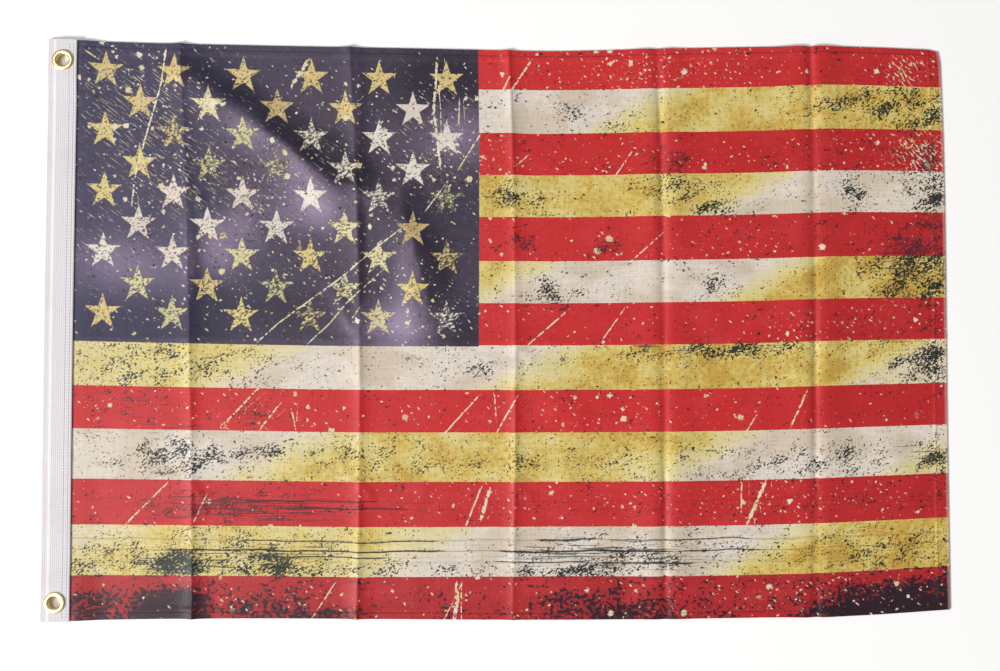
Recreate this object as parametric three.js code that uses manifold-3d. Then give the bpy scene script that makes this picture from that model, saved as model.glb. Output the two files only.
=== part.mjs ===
// A printed polyester flag, lying face up and spread out, with the folds of its packing still in it.
// Pieces: one hemmed cloth, a heading tape folded round its hoist edge, and two clinched brass eyelets.
// Millimetres. +X runs from the hoist to the fly, +Y to the flag's top edge, +Z up out of its face.
// The origin is the centre of the flag's outline, on the surface that it lies on.
import * as THREE from 'three';
import { mergeVertices } from 'three/addons/utils/BufferGeometryUtils.js';
import Module from 'manifold-3d';

const wasm = await Module();
wasm.setup();

// ---- Driving dimensions ----

const FLAG_W = 900; // hoist fold of the tape to the fly hem
const FLAG_H = 570; // top hem to bottom hem
const CENTRE_X = 0.58; // the outline's box centre in drafting coordinates, where the flag is a plain
const CENTRE_Y = -1.58; // rectangle about 0,0 before its edges are let wander

const CLOTH_T = 1.0;
const HEM_EXTRA = 0.5; // the turned edge's further thickness
const HEM_W = 10; // turned edge at top and bottom
const FLY_HEM_W = 13; // wider turned edge at the fly
const HEM_STEP = 1; // run over which the hem's thickness steps down
const GAP = 0.3; // air between pieces that touch

const TAPE_W = 29;
const TAPE_H = 571; // a little longer than the cloth at both ends
const TAPE_T = 1.0;
const CLOTH_IN_TAPE = 19.7; // how far the hoist edge goes into the tape

const EYELETS = { eyelet_top: [-434.6, 264.4], eyelet_bottom: [-435.2, -267.0] };
const EYELET_HOLE_R = 5.9;
const BARREL_R = 6.6;
const FLANGE_R = 10.3;
const FLANGE_T = 1.1;
const EYELET_SIDES = 40;
const PUNCHED_R = BARREL_R + GAP;

// Heights of the layers in the heading, above its own underside.
const CLOTH_IN_TAPE_Z = TAPE_T + GAP;
const TAPE_ROOF_Z = CLOTH_IN_TAPE_Z + CLOTH_T + GAP;
const TAPE_TOP_Z = TAPE_ROOF_Z + TAPE_T;
const EYELET_LIFT = FLANGE_T + GAP; // the heading rides up over each eyelet's clinched side
const LIFT_FLAT = 12; // how far past the eyelet's centre the tape still rides at full height
const LIFT_RUN = 30; // and the run over which it comes down again

// Edges wander by a few millimetres. Values are spaced evenly, from one end of an edge to the other.
const TOP_EDGE_DY = [0, -2, -3.2, -4, -4.8, -5.6, -2.3, 0.8, 2.5, 0]; // hoist to fly
const BOTTOM_EDGE_DY = [0.2, 0.8, 0.2, -1.5, -3.5, -5, -5.6, -5.6, -5, 0];
const HOIST_EDGE_DX = [0, -0.6, -0.9, -1, -0.8, -0.5, 0]; // bottom to top
const FLY_EDGE_DX = [0, 0.2, 0.5, 1.3, 2.1, 1.9, 0];
const CORNER_PULL = 1.8; // the top fly corner is drawn in
const CORNER_REACH = 8;

// Packing creases that run from top to bottom: x at the top, middle and bottom, the way they stand
// (+1 a ridge, -1 a valley between two shoulders), their height, and where along y they stand highest.
const CREASES = [
  { x: [-321.5, -309.5, -304.5], way: 1, high: 3.6, peak: 40 },
  { x: [-154.0, -143.0, -145.0], way: 1, high: 3.8, peak: 30 },
  { x: [5.5, 11.5, 8.5], way: 1, high: 3.2, peak: -120 },
  { x: [157.0, 161.0, 160.5], way: -1, high: 2.6, peak: 150 },
  { x: [314.5, 315.0, 313.0], way: -1, high: 2.6, peak: -40 },
];
const SHARP = 5; // reach of a crease's sharp crest
const BROAD = 17; // reach of the tent on both sides of it
const SHARP_SHARE = 0.45;
const SHOULDER = 11; // from a valley's line to its shoulders
const UNEVEN = 0.25; // how much a crease's height comes and goes along it
const UNEVEN_LENGTH = 330;

// Weaker creases across the flag, as [y, height], from folding the pack in four.
const CROSS_CREASES = [[145, 0.9], [-10, 1.2], [-151, 0.8]];
const CROSS_REACH = 9;

// Soft ridges left by handling: a run of points, height, and reach on either side.
const RIDGES = [
  { run: [[-322, 252], [-252, 210], [-192, 152], [-160, 112]], high: 4.0, reach: 20 },
  { run: [[-140, 150], [-112, 108], [-92, 60], [-86, 4]], high: 3.4, reach: 17 },
  { run: [[-100, 205], [-60, 190], [-12, 196]], high: 2.2, reach: 24 },
  { run: [[-300, 118], [-262, 112], [-226, 92]], high: 1.8, reach: 18 },
  { run: [[-412, 78], [-372, 84], [-330, 64]], high: 1.6, reach: 22 },
  { run: [[40, -40], [70, -80], [62, -140]], high: 1.6, reach: 20 },
  { run: [[-60, -180], [-90, -215], [-84, -262]], high: 1.4, reach: 20 },
  { run: [[210, 60], [250, 36], [286, 50]], high: 1.4, reach: 24 },
  { run: [[390, -120], [412, -160], [404, -214]], high: 1.5, reach: 20 },
  { run: [[60, 210], [100, 196], [136, 214]], high: 1.4, reach: 22 },
];

// The sum of the folds is let down by this much, and what falls below the surface lies flat on it.
const SETTLE = 0.5;
const SOFT_LANDING = 0.6;
const TAPE_FALL = 30; // run over which the cloth comes down from the heading to the surface

// ---- Shape of the lying flag ----

const smooth = (t) => {
  const s = Math.min(1, Math.max(0, t));
  return s * s * (3 - 2 * s);
};

// Catmull-Rom curve through evenly spaced values, at t from 0 to 1.
function wander(values, t) {
  const last = values.length - 1;
  const s = Math.min(1, Math.max(0, t)) * last;
  const i = Math.min(last - 1, Math.floor(s));
  const f = s - i;
  const p1 = values[i];
  const p2 = values[i + 1];
  const p0 = i > 0 ? values[i - 1] : 2 * p1 - p2;
  const p3 = i + 2 <= last ? values[i + 2] : 2 * p2 - p1;
  const bend = (2 * p0 - 5 * p1 + 4 * p2 - p3) * f * f + (3 * p1 - p0 - 3 * p2 + p3) * f * f * f;
  return p1 + 0.5 * ((p2 - p0) * f + bend);
}

// From the plain rectangle to the flag as it lies, in the flag's own frame.
function lay(x, y) {
  const u = x / FLAG_W + 0.5;
  const v = y / FLAG_H + 0.5;
  const dy = (1 - v) * wander(BOTTOM_EDGE_DY, u) + v * wander(TOP_EDGE_DY, u);
  const dx = (1 - u) * wander(HOIST_EDGE_DX, v) + u * wander(FLY_EDGE_DX, v);
  const corner = Math.hypot(x - FLAG_W / 2, y - FLAG_H / 2) / CORNER_REACH;
  const pull = CORNER_PULL * Math.exp(-corner * corner);
  return [x + dx - pull - CENTRE_X, y + dy - pull - CENTRE_Y];
}

// Parabola through a crease's x at the top, middle and bottom.
function creaseX(crease, y) {
  const [top, middle, bottom] = crease.x;
  const t = y / (FLAG_H / 2);
  return middle + 0.5 * (top - bottom) * t + (0.5 * (top + bottom) - middle) * t * t;
}

function creaseHeight(crease, x, y) {
  const d = Math.abs(x - creaseX(crease, y));
  const high = crease.high * (1 + UNEVEN * Math.cos((2 * Math.PI * (y - crease.peak)) / UNEVEN_LENGTH));
  if (crease.way > 0) {
    return high * (SHARP_SHARE * Math.exp(-d / SHARP) + (1 - SHARP_SHARE) * Math.exp(-d / BROAD));
  }
  return high * (d / SHOULDER) * Math.exp(1 - d / SHOULDER);
}

// Distance from a point to a run of straight pieces.
function distanceToRun(run, x, y) {
  let nearest = Infinity;
  for (let i = 0; i + 1 < run.length; i++) {
    const [ax, ay] = run[i];
    const [bx, by] = run[i + 1];
    const along = ((x - ax) * (bx - ax) + (y - ay) * (by - ay)) / ((bx - ax) ** 2 + (by - ay) ** 2);
    const t = Math.min(1, Math.max(0, along));
    nearest = Math.min(nearest, Math.hypot(x - ax - t * (bx - ax), y - ay - t * (by - ay)));
  }
  return nearest;
}

// Underside of the cloth over the surface, away from the heading.
function foldHeight(x, y) {
  let sum = -SETTLE;
  for (const crease of CREASES) sum += creaseHeight(crease, x, y);
  for (const [at, high] of CROSS_CREASES) sum += high * Math.exp(-Math.abs(y - at) / CROSS_REACH);
  for (const { run, high, reach } of RIDGES) {
    const d = distanceToRun(run, x, y) / reach;
    sum += high * Math.exp(-d * d);
  }
  if (sum <= 0) return 0;
  return sum < SOFT_LANDING ? (sum * sum) / (2 * SOFT_LANDING) : sum - SOFT_LANDING / 2;
}

// How far the heading rides up over its eyelets: fully from just inside each eyelet to the near end.
function headingLift(y) {
  let most = 0;
  for (const [, eyeletY] of Object.values(EYELETS)) {
    const inward = (eyeletY - y) * Math.sign(eyeletY);
    most = Math.max(most, 1 - smooth((inward - LIFT_FLAT) / LIFT_RUN));
  }
  return EYELET_LIFT * most;
}

const HOIST_X = -FLAG_W / 2;
const TAPE_EDGE_X = HOIST_X + TAPE_W;

function clothUnderside(x, y) {
  const held = 1 - smooth((x - TAPE_EDGE_X - HEM_STEP) / TAPE_FALL);
  return held * (headingLift(y) + CLOTH_IN_TAPE_Z) + (1 - held) * foldHeight(x, y);
}

// The hems' extra thickness; inside the tape and next to it they are pressed flat.
function hemExtra(x, y) {
  const fromEnds = FLAG_H / 2 - Math.abs(y);
  const ends = 1 - smooth((fromEnds - HEM_W) / HEM_STEP);
  const fly = 1 - smooth((FLAG_W / 2 - x - FLY_HEM_W) / HEM_STEP);
  const free = smooth((x - TAPE_EDGE_X - HEM_STEP) / (HEM_W / 2));
  return HEM_EXTRA * free * Math.max(ends, fly);
}

// ---- Making solids ----

function closedMesh(positions, triangles) {
  const geometry = new THREE.BufferGeometry();
  geometry.setAttribute('position', new THREE.Float32BufferAttribute(positions, 3));
  geometry.setIndex(triangles);
  return geometry;
}

// Closed skin through rings of points that follow one section, capped at both ends. Seen from the first
// ring, the section is listed clockwise.
function bandOfRings(rings, section) {
  const positions = rings.flat(2);
  const size = section.length;
  const triangles = [];
  for (let r = 0; r + 1 < rings.length; r++) {
    for (let k = 0; k < size; k++) {
      const a = r * size + k;
      const b = r * size + ((k + 1) % size);
      triangles.push(a, b, a + size, b, b + size, a + size);
    }
  }
  const outline = section.map(([u, z]) => new THREE.Vector2(u, z));
  const end = (rings.length - 1) * size;
  for (const [a, b, c] of THREE.ShapeUtils.triangulateShape(outline, [])) {
    const turn = THREE.ShapeUtils.isClockWise([outline[a], outline[b], outline[c]]);
    const [p, q] = turn ? [c, b] : [b, c];
    triangles.push(a, p, q, end + a, end + q, end + p);
  }
  return closedMesh(positions, triangles);
}

const MERGE_WITHIN = 1e-4;

function toManifold(geometry) {
  const bare = geometry.clone();
  bare.deleteAttribute('normal');
  bare.deleteAttribute('uv');
  const merged = mergeVertices(bare, MERGE_WITHIN);
  const mesh = new wasm.Mesh({
    numProp: 3,
    vertProperties: merged.attributes.position.array,
    triVerts: new Uint32Array(merged.index.array),
  });
  return new wasm.Manifold(mesh);
}

function fromManifold(solid) {
  const mesh = solid.getMesh();
  return closedMesh(Array.from(mesh.vertProperties), Array.from(mesh.triVerts));
}

const PUNCH_LENGTH = 40; // well past both faces

// Cuts the two punched holes for the eyelets' barrels.
function punchEyelets(geometry) {
  let solid = toManifold(geometry);
  for (const [x, y] of Object.values(EYELETS)) {
    const punch = new THREE.CylinderGeometry(PUNCHED_R, PUNCHED_R, PUNCH_LENGTH, EYELET_SIDES);
    punch.rotateX(Math.PI / 2);
    const [px, py] = lay(x, y);
    punch.translate(px, py, 0);
    solid = solid.subtract(toManifold(punch));
  }
  return fromManifold(solid);
}

function piece(name, geometry, color, roughness, metalness) {
  geometry.computeVertexNormals();
  const material = new THREE.MeshStandardMaterial({ color, roughness, metalness, flatShading: true });
  const mesh = new THREE.Mesh(geometry, material);
  mesh.name = name;
  return mesh;
}

// ---- The cloth ----

const NEAR_TAPE = [-CLOTH_IN_TAPE, 1 - TAPE_W / 2, 0, 4, 12, 22]; // columns, from the tape's inner edge
const NEXT_TO_TAPE = 32; // where the first panel between creases begins
const CREASE_SIDE = 22; // each crease has its own columns out to this far
const CREASE_SHOULDER = 8;
const PANEL_SHARES = [0, 0.33, 0.67]; // columns across the panel between two creases

// Rows between the hems, closer together over the heading's lift and the cross creases.
const LOWER_ROWS = [-255, -246, -237, -226, -208, -188, -170, -160, -151, -142, -122, -97, -72, -47, -24];
const UPPER_ROWS = [-10, 4, 26, 50, 74, 98, 120, 136, 145, 154, 172, 196, 216, 224, 234, 243, 252];

// Columns of the sheet at height y: close together over the creases, whose lines they follow.
function clothColumns(y) {
  const columns = NEAR_TAPE.map((offset) => TAPE_EDGE_X + offset);
  const panel = (from, to) => {
    for (const share of PANEL_SHARES) columns.push(from + share * (to - from));
  };
  let from = TAPE_EDGE_X + NEXT_TO_TAPE;
  for (const crease of CREASES) {
    const line = creaseX(crease, y);
    panel(from, line - CREASE_SIDE);
    columns.push(line - CREASE_SIDE, line - CREASE_SHOULDER, line, line + CREASE_SHOULDER);
    from = line + CREASE_SIDE;
  }
  const hem = FLAG_W / 2 - FLY_HEM_W;
  panel(from, hem);
  columns.push(hem - HEM_STEP, hem, FLAG_W / 2);
  return columns;
}

function clothRows() {
  const top = FLAG_H / 2;
  const hem = top - HEM_W;
  const lower = [-top, -hem, -hem + HEM_STEP, ...LOWER_ROWS];
  return [...lower, ...UPPER_ROWS, hem - HEM_STEP, hem, top];
}

function clothGeometry() {
  const rows = clothRows();
  const positions = [];
  const count = clothColumns(0).length;
  for (const y of rows) {
    for (const x of clothColumns(y)) {
      const under = clothUnderside(x, y);
      const [px, py] = lay(x, y);
      positions.push(px, py, under, px, py, under + CLOTH_T + hemExtra(x, y));
    }
  }
  const at = (row, column, face) => 2 * (row * count + column) + face;
  const triangles = [];
  const quad = (a, b, c, d) => triangles.push(a, b, c, a, c, d);
  for (let r = 0; r + 1 < rows.length; r++) {
    for (let c = 0; c + 1 < count; c++) {
      quad(at(r, c, 1), at(r, c + 1, 1), at(r + 1, c + 1, 1), at(r + 1, c, 1));
      quad(at(r, c, 0), at(r + 1, c, 0), at(r + 1, c + 1, 0), at(r, c + 1, 0));
    }
    quad(at(r, 0, 0), at(r, 0, 1), at(r + 1, 0, 1), at(r + 1, 0, 0));
    const e = count - 1;
    quad(at(r, e, 0), at(r + 1, e, 0), at(r + 1, e, 1), at(r, e, 1));
  }
  const last = rows.length - 1;
  for (let c = 0; c + 1 < count; c++) {
    quad(at(0, c, 0), at(0, c + 1, 0), at(0, c + 1, 1), at(0, c, 1));
    quad(at(last, c, 0), at(last, c, 1), at(last, c + 1, 1), at(last, c + 1, 0));
  }
  return punchEyelets(closedMesh(positions, triangles));
}

// ---- The heading tape ----

// Section of the folded tape, as [from the fold, above its underside], round its outer side and back
// along the inside. Past the hoist edge of the cloth its two layers close on each other.
const CLOSED_TOP = 2 * TAPE_T + GAP;
const STEP_FROM = 6.2; // the top layer steps up over the cloth's edge between these
const STEP_TO = 8.8;
const STEP_INSIDE = 0.2; // further in, on the inside of the turn
const NOSE = 1.1; // the fold is round over this much
const NOSE_CHAMFER_U = 0.3;
const NOSE_CHAMFER_Z = 0.4;
const SLOT_END = 1.4; // where the inside stops short of the fold
const TAPE_SECTION = [
  [TAPE_W, 0],
  [NOSE, 0],
  [NOSE_CHAMFER_U, NOSE_CHAMFER_Z],
  [0, CLOSED_TOP / 2],
  [NOSE_CHAMFER_U, CLOSED_TOP - NOSE_CHAMFER_Z],
  [NOSE, CLOSED_TOP],
  [STEP_FROM, CLOSED_TOP],
  [STEP_TO, TAPE_TOP_Z],
  [TAPE_W, TAPE_TOP_Z],
  [TAPE_W, TAPE_ROOF_Z],
  [STEP_TO + STEP_INSIDE, TAPE_ROOF_Z],
  [STEP_FROM + STEP_INSIDE, TAPE_T + GAP],
  [SLOT_END, TAPE_T + GAP],
  [SLOT_END, TAPE_T],
  [TAPE_W, TAPE_T],
];

// The tape's rings stand on the cloth's rows, so that both follow the same facets.
function tapeGeometry() {
  const stations = [-TAPE_H / 2, ...clothRows().slice(1, -1), TAPE_H / 2];
  const rings = stations.map((y) =>
    TAPE_SECTION.map(([u, z]) => {
      const [px, py] = lay(HOIST_X + u, y);
      return [px, py, z + headingLift(y)];
    })
  );
  return punchEyelets(bandOfRings(rings, TAPE_SECTION));
}

// ---- The brass eyelets ----

const EDGE_SIDE = 0.5; // the flange's upright edge, and the roll from it up to the flat crown
const ROLL_R = [0.45, 1.2];
const ROLL_Z = 0.25;
const MOUTH_R = [0.4, 1.3]; // the mouth's rounding out from the bore, alike at both ends
const MOUTH_DEPTH = 0.9;
const CLINCH_R = [0.1, 0.3, 1.0]; // the clinch below is a little smaller, and rolls to its flat
const CLINCH_Z = 0.3;

// Section of a clinched eyelet: rolled flange on the face, barrel, and the clinch spread below.
function eyeletGeometry() {
  const seat = EYELET_LIFT + TAPE_TOP_Z + GAP;
  const top = seat + FLANGE_T;
  const bore = EYELET_HOLE_R;
  const profile = [
    [FLANGE_R, seat],
    [FLANGE_R, seat + EDGE_SIDE],
    [FLANGE_R - ROLL_R[0], top - ROLL_Z],
    [FLANGE_R - ROLL_R[1], top],
    [bore + MOUTH_R[1], top],
    [bore + MOUTH_R[0], top - ROLL_Z],
    [bore, top - MOUTH_DEPTH],
    [bore, MOUTH_DEPTH],
    [bore + MOUTH_R[0], ROLL_Z],
    [bore + MOUTH_R[1], 0],
    [FLANGE_R - CLINCH_R[2], 0],
    [FLANGE_R - CLINCH_R[1], CLINCH_Z],
    [FLANGE_R - CLINCH_R[0], FLANGE_T],
    [BARREL_R, FLANGE_T],
    [BARREL_R, seat],
    [FLANGE_R, seat],
  ];
  const points = profile.map(([r, z]) => new THREE.Vector2(r, z));
  const geometry = new THREE.LatheGeometry(points, EYELET_SIDES);
  geometry.rotateX(Math.PI / 2);
  geometry.deleteAttribute('normal');
  geometry.deleteAttribute('uv');
  return mergeVertices(geometry, MERGE_WITHIN);
}

const flag = new THREE.Group();
flag.add(piece('flag_cloth', clothGeometry(), '#b3343c', 0.62, 0));
flag.add(piece('heading_tape', tapeGeometry(), '#e4dee4', 0.85, 0));
for (const [name, [x, y]] of Object.entries(EYELETS)) {
  const eyelet = piece(name, eyeletGeometry(), '#b08a45', 0.32, 1);
  const [px, py] = lay(x, y);
  eyelet.position.set(px, py, 0);
  flag.add(eyelet);
}

export default flag;
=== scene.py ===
"""A printed polyester flag with a worn, stained print, lying face up with its packing creases in it."""
import math

import bpy
import mathutils
import numpy as np
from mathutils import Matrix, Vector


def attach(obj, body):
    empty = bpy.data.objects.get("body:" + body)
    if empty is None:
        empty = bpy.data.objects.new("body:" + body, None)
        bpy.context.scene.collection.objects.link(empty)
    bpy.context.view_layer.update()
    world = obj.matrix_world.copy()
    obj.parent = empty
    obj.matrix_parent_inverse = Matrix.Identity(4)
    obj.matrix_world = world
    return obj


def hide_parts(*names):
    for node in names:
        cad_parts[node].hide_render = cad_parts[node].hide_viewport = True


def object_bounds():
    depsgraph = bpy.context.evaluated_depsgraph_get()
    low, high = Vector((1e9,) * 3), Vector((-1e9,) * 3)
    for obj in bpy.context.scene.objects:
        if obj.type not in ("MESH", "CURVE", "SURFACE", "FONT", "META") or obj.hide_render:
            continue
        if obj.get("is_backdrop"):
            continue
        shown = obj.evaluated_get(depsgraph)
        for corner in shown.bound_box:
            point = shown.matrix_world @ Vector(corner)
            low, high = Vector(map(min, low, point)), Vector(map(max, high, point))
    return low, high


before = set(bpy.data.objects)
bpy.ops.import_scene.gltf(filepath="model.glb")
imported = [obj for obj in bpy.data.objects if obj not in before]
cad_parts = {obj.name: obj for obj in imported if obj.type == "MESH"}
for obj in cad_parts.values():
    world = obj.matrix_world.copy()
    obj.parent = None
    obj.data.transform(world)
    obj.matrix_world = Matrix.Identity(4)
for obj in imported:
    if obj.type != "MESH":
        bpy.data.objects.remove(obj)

cad_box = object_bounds()

# ----------------------------------------------------------
# The cloth: one length of thin plain-weave polyester, turned into hems on three sides, with its hoist
# edge sewn inside the heading tape. It was folded small for its packet, then opened and smoothed by
# hand, so sharp creases run from top to bottom, weaker ones across, and soft ridges between them.

# Lengths here are millimetres, in the plain rectangle that the flag was cut to, centred on 0,0.
MM = 0.001
FLAG_W, FLAG_H = 900, 570
CENTRE = (0.58, -1.58)  # the outline's box centre in the plain rectangle
CLOTH_T = 1.0
HEM_EXTRA, HEM_W, FLY_HEM_W, HEM_STEP = 0.5, 10, 13, 1  # the last is the width of the step
GAP = 0.3  # between one layer and the next
TAPE_W, TAPE_T = 29, 1.0
CLOTH_IN_TAPE = 19.7  # how far the cloth reaches into the tape
HOIST_X = -FLAG_W / 2
TAPE_EDGE_X = HOIST_X + TAPE_W
EYELETS = {"eyelet_top": (-434.6, 264.4), "eyelet_bottom": (-435.2, -267.0)}
FLANGE_T = 1.1  # the eyelets' rim under the tape
CLOTH_IN_TAPE_Z = TAPE_T + GAP
EYELET_LIFT, LIFT_FLAT, LIFT_RUN = FLANGE_T + GAP, 12, 30  # how far the heading rides up over them
PUNCHED_R = 6.9  # of the holes for the eyelets

# How far each edge strays from straight, at even steps along it: hoist to fly, or bottom to top.
TOP_EDGE_DY = (0, -2, -3.2, -4, -4.8, -5.6, -2.3, 0.8, 2.5, 0)
BOTTOM_EDGE_DY = (0.2, 0.8, 0.2, -1.5, -3.5, -5, -5.6, -5.6, -5, 0)
HOIST_EDGE_DX = (0, -0.6, -0.9, -1, -0.8, -0.5, 0)
FLY_EDGE_DX = (0, 0.2, 0.5, 1.3, 2.1, 1.9, 0)
CORNER_PULL, CORNER_REACH = 1.8, 8  # of the top fly corner

# Packing creases: x at the top, middle and bottom, +1 a ridge or -1 a valley, height, highest y.
CREASES = (
    ((-321.5, -309.5, -304.5), 1, 3.6, 40),
    ((-154.0, -143.0, -145.0), 1, 3.8, 30),
    ((5.5, 11.5, 8.5), 1, 3.2, -120),
    ((157.0, 161.0, 160.5), -1, 2.6, 150),
    ((314.5, 315.0, 313.0), -1, 2.6, -40),
)
SHARP, BROAD, SHARP_SHARE, SHOULDER = 4, 17, 0.45, 11  # reaches of a ridge's two crests, and a valley's
UNEVEN, UNEVEN_LENGTH = 0.25, 330  # how a crease swells along its length
CROSS_CREASES = ((145, 0.9), (-10, 1.2), (-151, 0.8))  # y and height
CROSS_REACH = 9
# Soft ridges: a run of points, height and reach.
RIDGES = (
    (((-322, 252), (-252, 210), (-192, 152), (-160, 112)), 4.0, 20),
    (((-140, 150), (-112, 108), (-92, 60), (-86, 4)), 3.4, 17),
    (((-100, 205), (-60, 190), (-12, 196)), 2.2, 24),
    (((-300, 118), (-262, 112), (-226, 92)), 1.8, 18),
    (((-412, 78), (-372, 84), (-330, 64)), 1.6, 22),
    (((40, -40), (70, -80), (62, -140)), 1.6, 20),
    (((-60, -180), (-90, -215), (-84, -262)), 1.4, 20),
    (((210, 60), (250, 36), (286, 50)), 1.4, 24),
    (((390, -120), (412, -160), (404, -214)), 1.5, 20),
    (((60, 210), (100, 196), (136, 214)), 1.4, 22),
)
SETTLE, SOFT_LANDING = 0.5, 0.6  # how far it is all let down, and how gently it meets the surface
TAPE_FALL = 30  # the run over which the cloth comes down from the tape


def smooth(t):
    """0 below 0, 1 above 1, and 3t^2 - 2t^3 between them."""
    s = np.clip(t, 0, 1)
    return s * s * (3 - 2 * s)


def wander(values, t):
    """Catmull-Rom curve through evenly spaced values, with its ends run straight on, at t from 0 to 1."""
    v = np.asarray(values, float)
    v = np.concatenate([[2 * v[0] - v[1]], v, [2 * v[-1] - v[-2]]])
    s = np.clip(t, 0, 1) * (len(values) - 1)
    i = np.minimum(np.floor(s).astype(int), len(values) - 2)
    f = s - i
    p0, p1, p2, p3 = v[i], v[i + 1], v[i + 2], v[i + 3]
    bend = (2 * p0 - 5 * p1 + 4 * p2 - p3) * f**2 + (3 * p1 - p0 - 3 * p2 + p3) * f**3
    return p1 + 0.5 * ((p2 - p0) * f + bend)


def lay(x, y):
    """From the plain rectangle to the flag as it lies: each point moves with the edges on either side of
    it, in proportion to how near they are, and the top fly corner is drawn in by a bell-shaped pull."""
    u, v = x / FLAG_W + 0.5, y / FLAG_H + 0.5
    dy = (1 - v) * wander(BOTTOM_EDGE_DY, u) + v * wander(TOP_EDGE_DY, u)
    dx = (1 - u) * wander(HOIST_EDGE_DX, v) + u * wander(FLY_EDGE_DX, v)
    pull = CORNER_PULL * np.exp(-np.hypot(x - FLAG_W / 2, y - FLAG_H / 2) ** 2 / CORNER_REACH**2)
    return x + dx - pull - CENTRE[0], y + dy - pull - CENTRE[1]


def crease_x(line, y):
    """Parabola in y through a crease's x at the flag's top, middle and bottom."""
    top, middle, bottom = line
    t = y / (FLAG_H / 2)
    return middle + 0.5 * (top - bottom) * t + (0.5 * (top + bottom) - middle) * t * t


def crease_height(crease, x, y):
    """A ridge is a sharp exponential crest on a broad one, and a valley is 0 on its line and rises to
    shoulders as d e^(1-d). Both swell and sink along the crease as a cosine."""
    line, way, high, peak = crease
    d = np.abs(x - crease_x(line, y))
    high = high * (1 + UNEVEN * np.cos(2 * math.pi * (y - peak) / UNEVEN_LENGTH))
    if way > 0:
        return high * (SHARP_SHARE * np.exp(-d / SHARP) + (1 - SHARP_SHARE) * np.exp(-d / BROAD))
    return high * (d / SHOULDER) * np.exp(1 - d / SHOULDER)


def nearest_on_run(run, x, y):
    """Distance to a run of straight pieces, the same with a sign for the side, how far along the run the
    nearest point is, and the run's length."""
    best = np.full(np.shape(x), np.inf)
    side, along = np.zeros(np.shape(x)), np.zeros(np.shape(x))
    done = 0.0
    for (ax, ay), (bx, by) in zip(run, run[1:]):
        length = math.hypot(bx - ax, by - ay)
        ex, ey = (bx - ax) / length, (by - ay) / length
        t = np.clip((x - ax) * ex + (y - ay) * ey, 0, length)
        d = np.hypot(x - ax - t * ex, y - ay - t * ey)
        nearer = d < best
        best = np.where(nearer, d, best)
        side = np.where(nearer, np.sign((x - ax) * ey - (y - ay) * ex), side)
        along = np.where(nearer, done + t, along)
        done += length
    return best, best * side, along, done


def fold_height(x, y):
    """Sum of all creases and ridges, let down a little, with what falls below the surface lying on it."""
    total = -SETTLE + sum(crease_height(c, x, y) for c in CREASES)
    for at, high in CROSS_CREASES:
        total = total + high * np.exp(-np.abs(y - at) / CROSS_REACH)
    for run, high, reach in RIDGES:
        total = total + high * np.exp(-((nearest_on_run(run, x, y)[0] / reach) ** 2))
    landing = np.clip(total, 0, None) ** 2 / (2 * SOFT_LANDING)
    return np.where(total < SOFT_LANDING, landing, total - SOFT_LANDING / 2)


def heading_lift(y):
    """How far the heading rides up over its eyelets: fully from just inside each one to the near end."""
    inward = [(at - y) * math.copysign(1, at) for _, at in EYELETS.values()]
    return EYELET_LIFT * (1 - smooth((np.minimum(*inward) - LIFT_FLAT) / LIFT_RUN))


def cloth_underside(x, y):
    """Held between the tape's layers at the hoist, and let down onto its folds over a short run."""
    held = 1 - smooth((x - TAPE_EDGE_X - HEM_STEP) / TAPE_FALL)
    return held * (heading_lift(y) + CLOTH_IN_TAPE_Z) + (1 - held) * fold_height(x, y)


def hem_extra(x, y):
    """Extra thickness of the turned hems: full at the edges, stepping down within a millimetre."""
    ends = 1 - smooth((FLAG_H / 2 - np.abs(y) - HEM_W) / HEM_STEP)
    fly = 1 - smooth((FLAG_W / 2 - x - FLY_HEM_W) / HEM_STEP)
    free = smooth((x - TAPE_EDGE_X - HEM_STEP) / (HEM_W / 2))
    return HEM_EXTRA * free * np.maximum(ends, fly)


# The mesh is a fine closed grid: steps between creases, up the flag, across an end hem and the fly hem.
PANEL_COLUMNS = 40
PANEL_ROWS = (30, 36, 42, 36)
HEM_ROWS = (0, 0.5, 1.5, 4, 6.5, 9)
FLY_COLUMNS = (14, 13, 10, 7, 4, 1.5, 0.5, 0)

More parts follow.
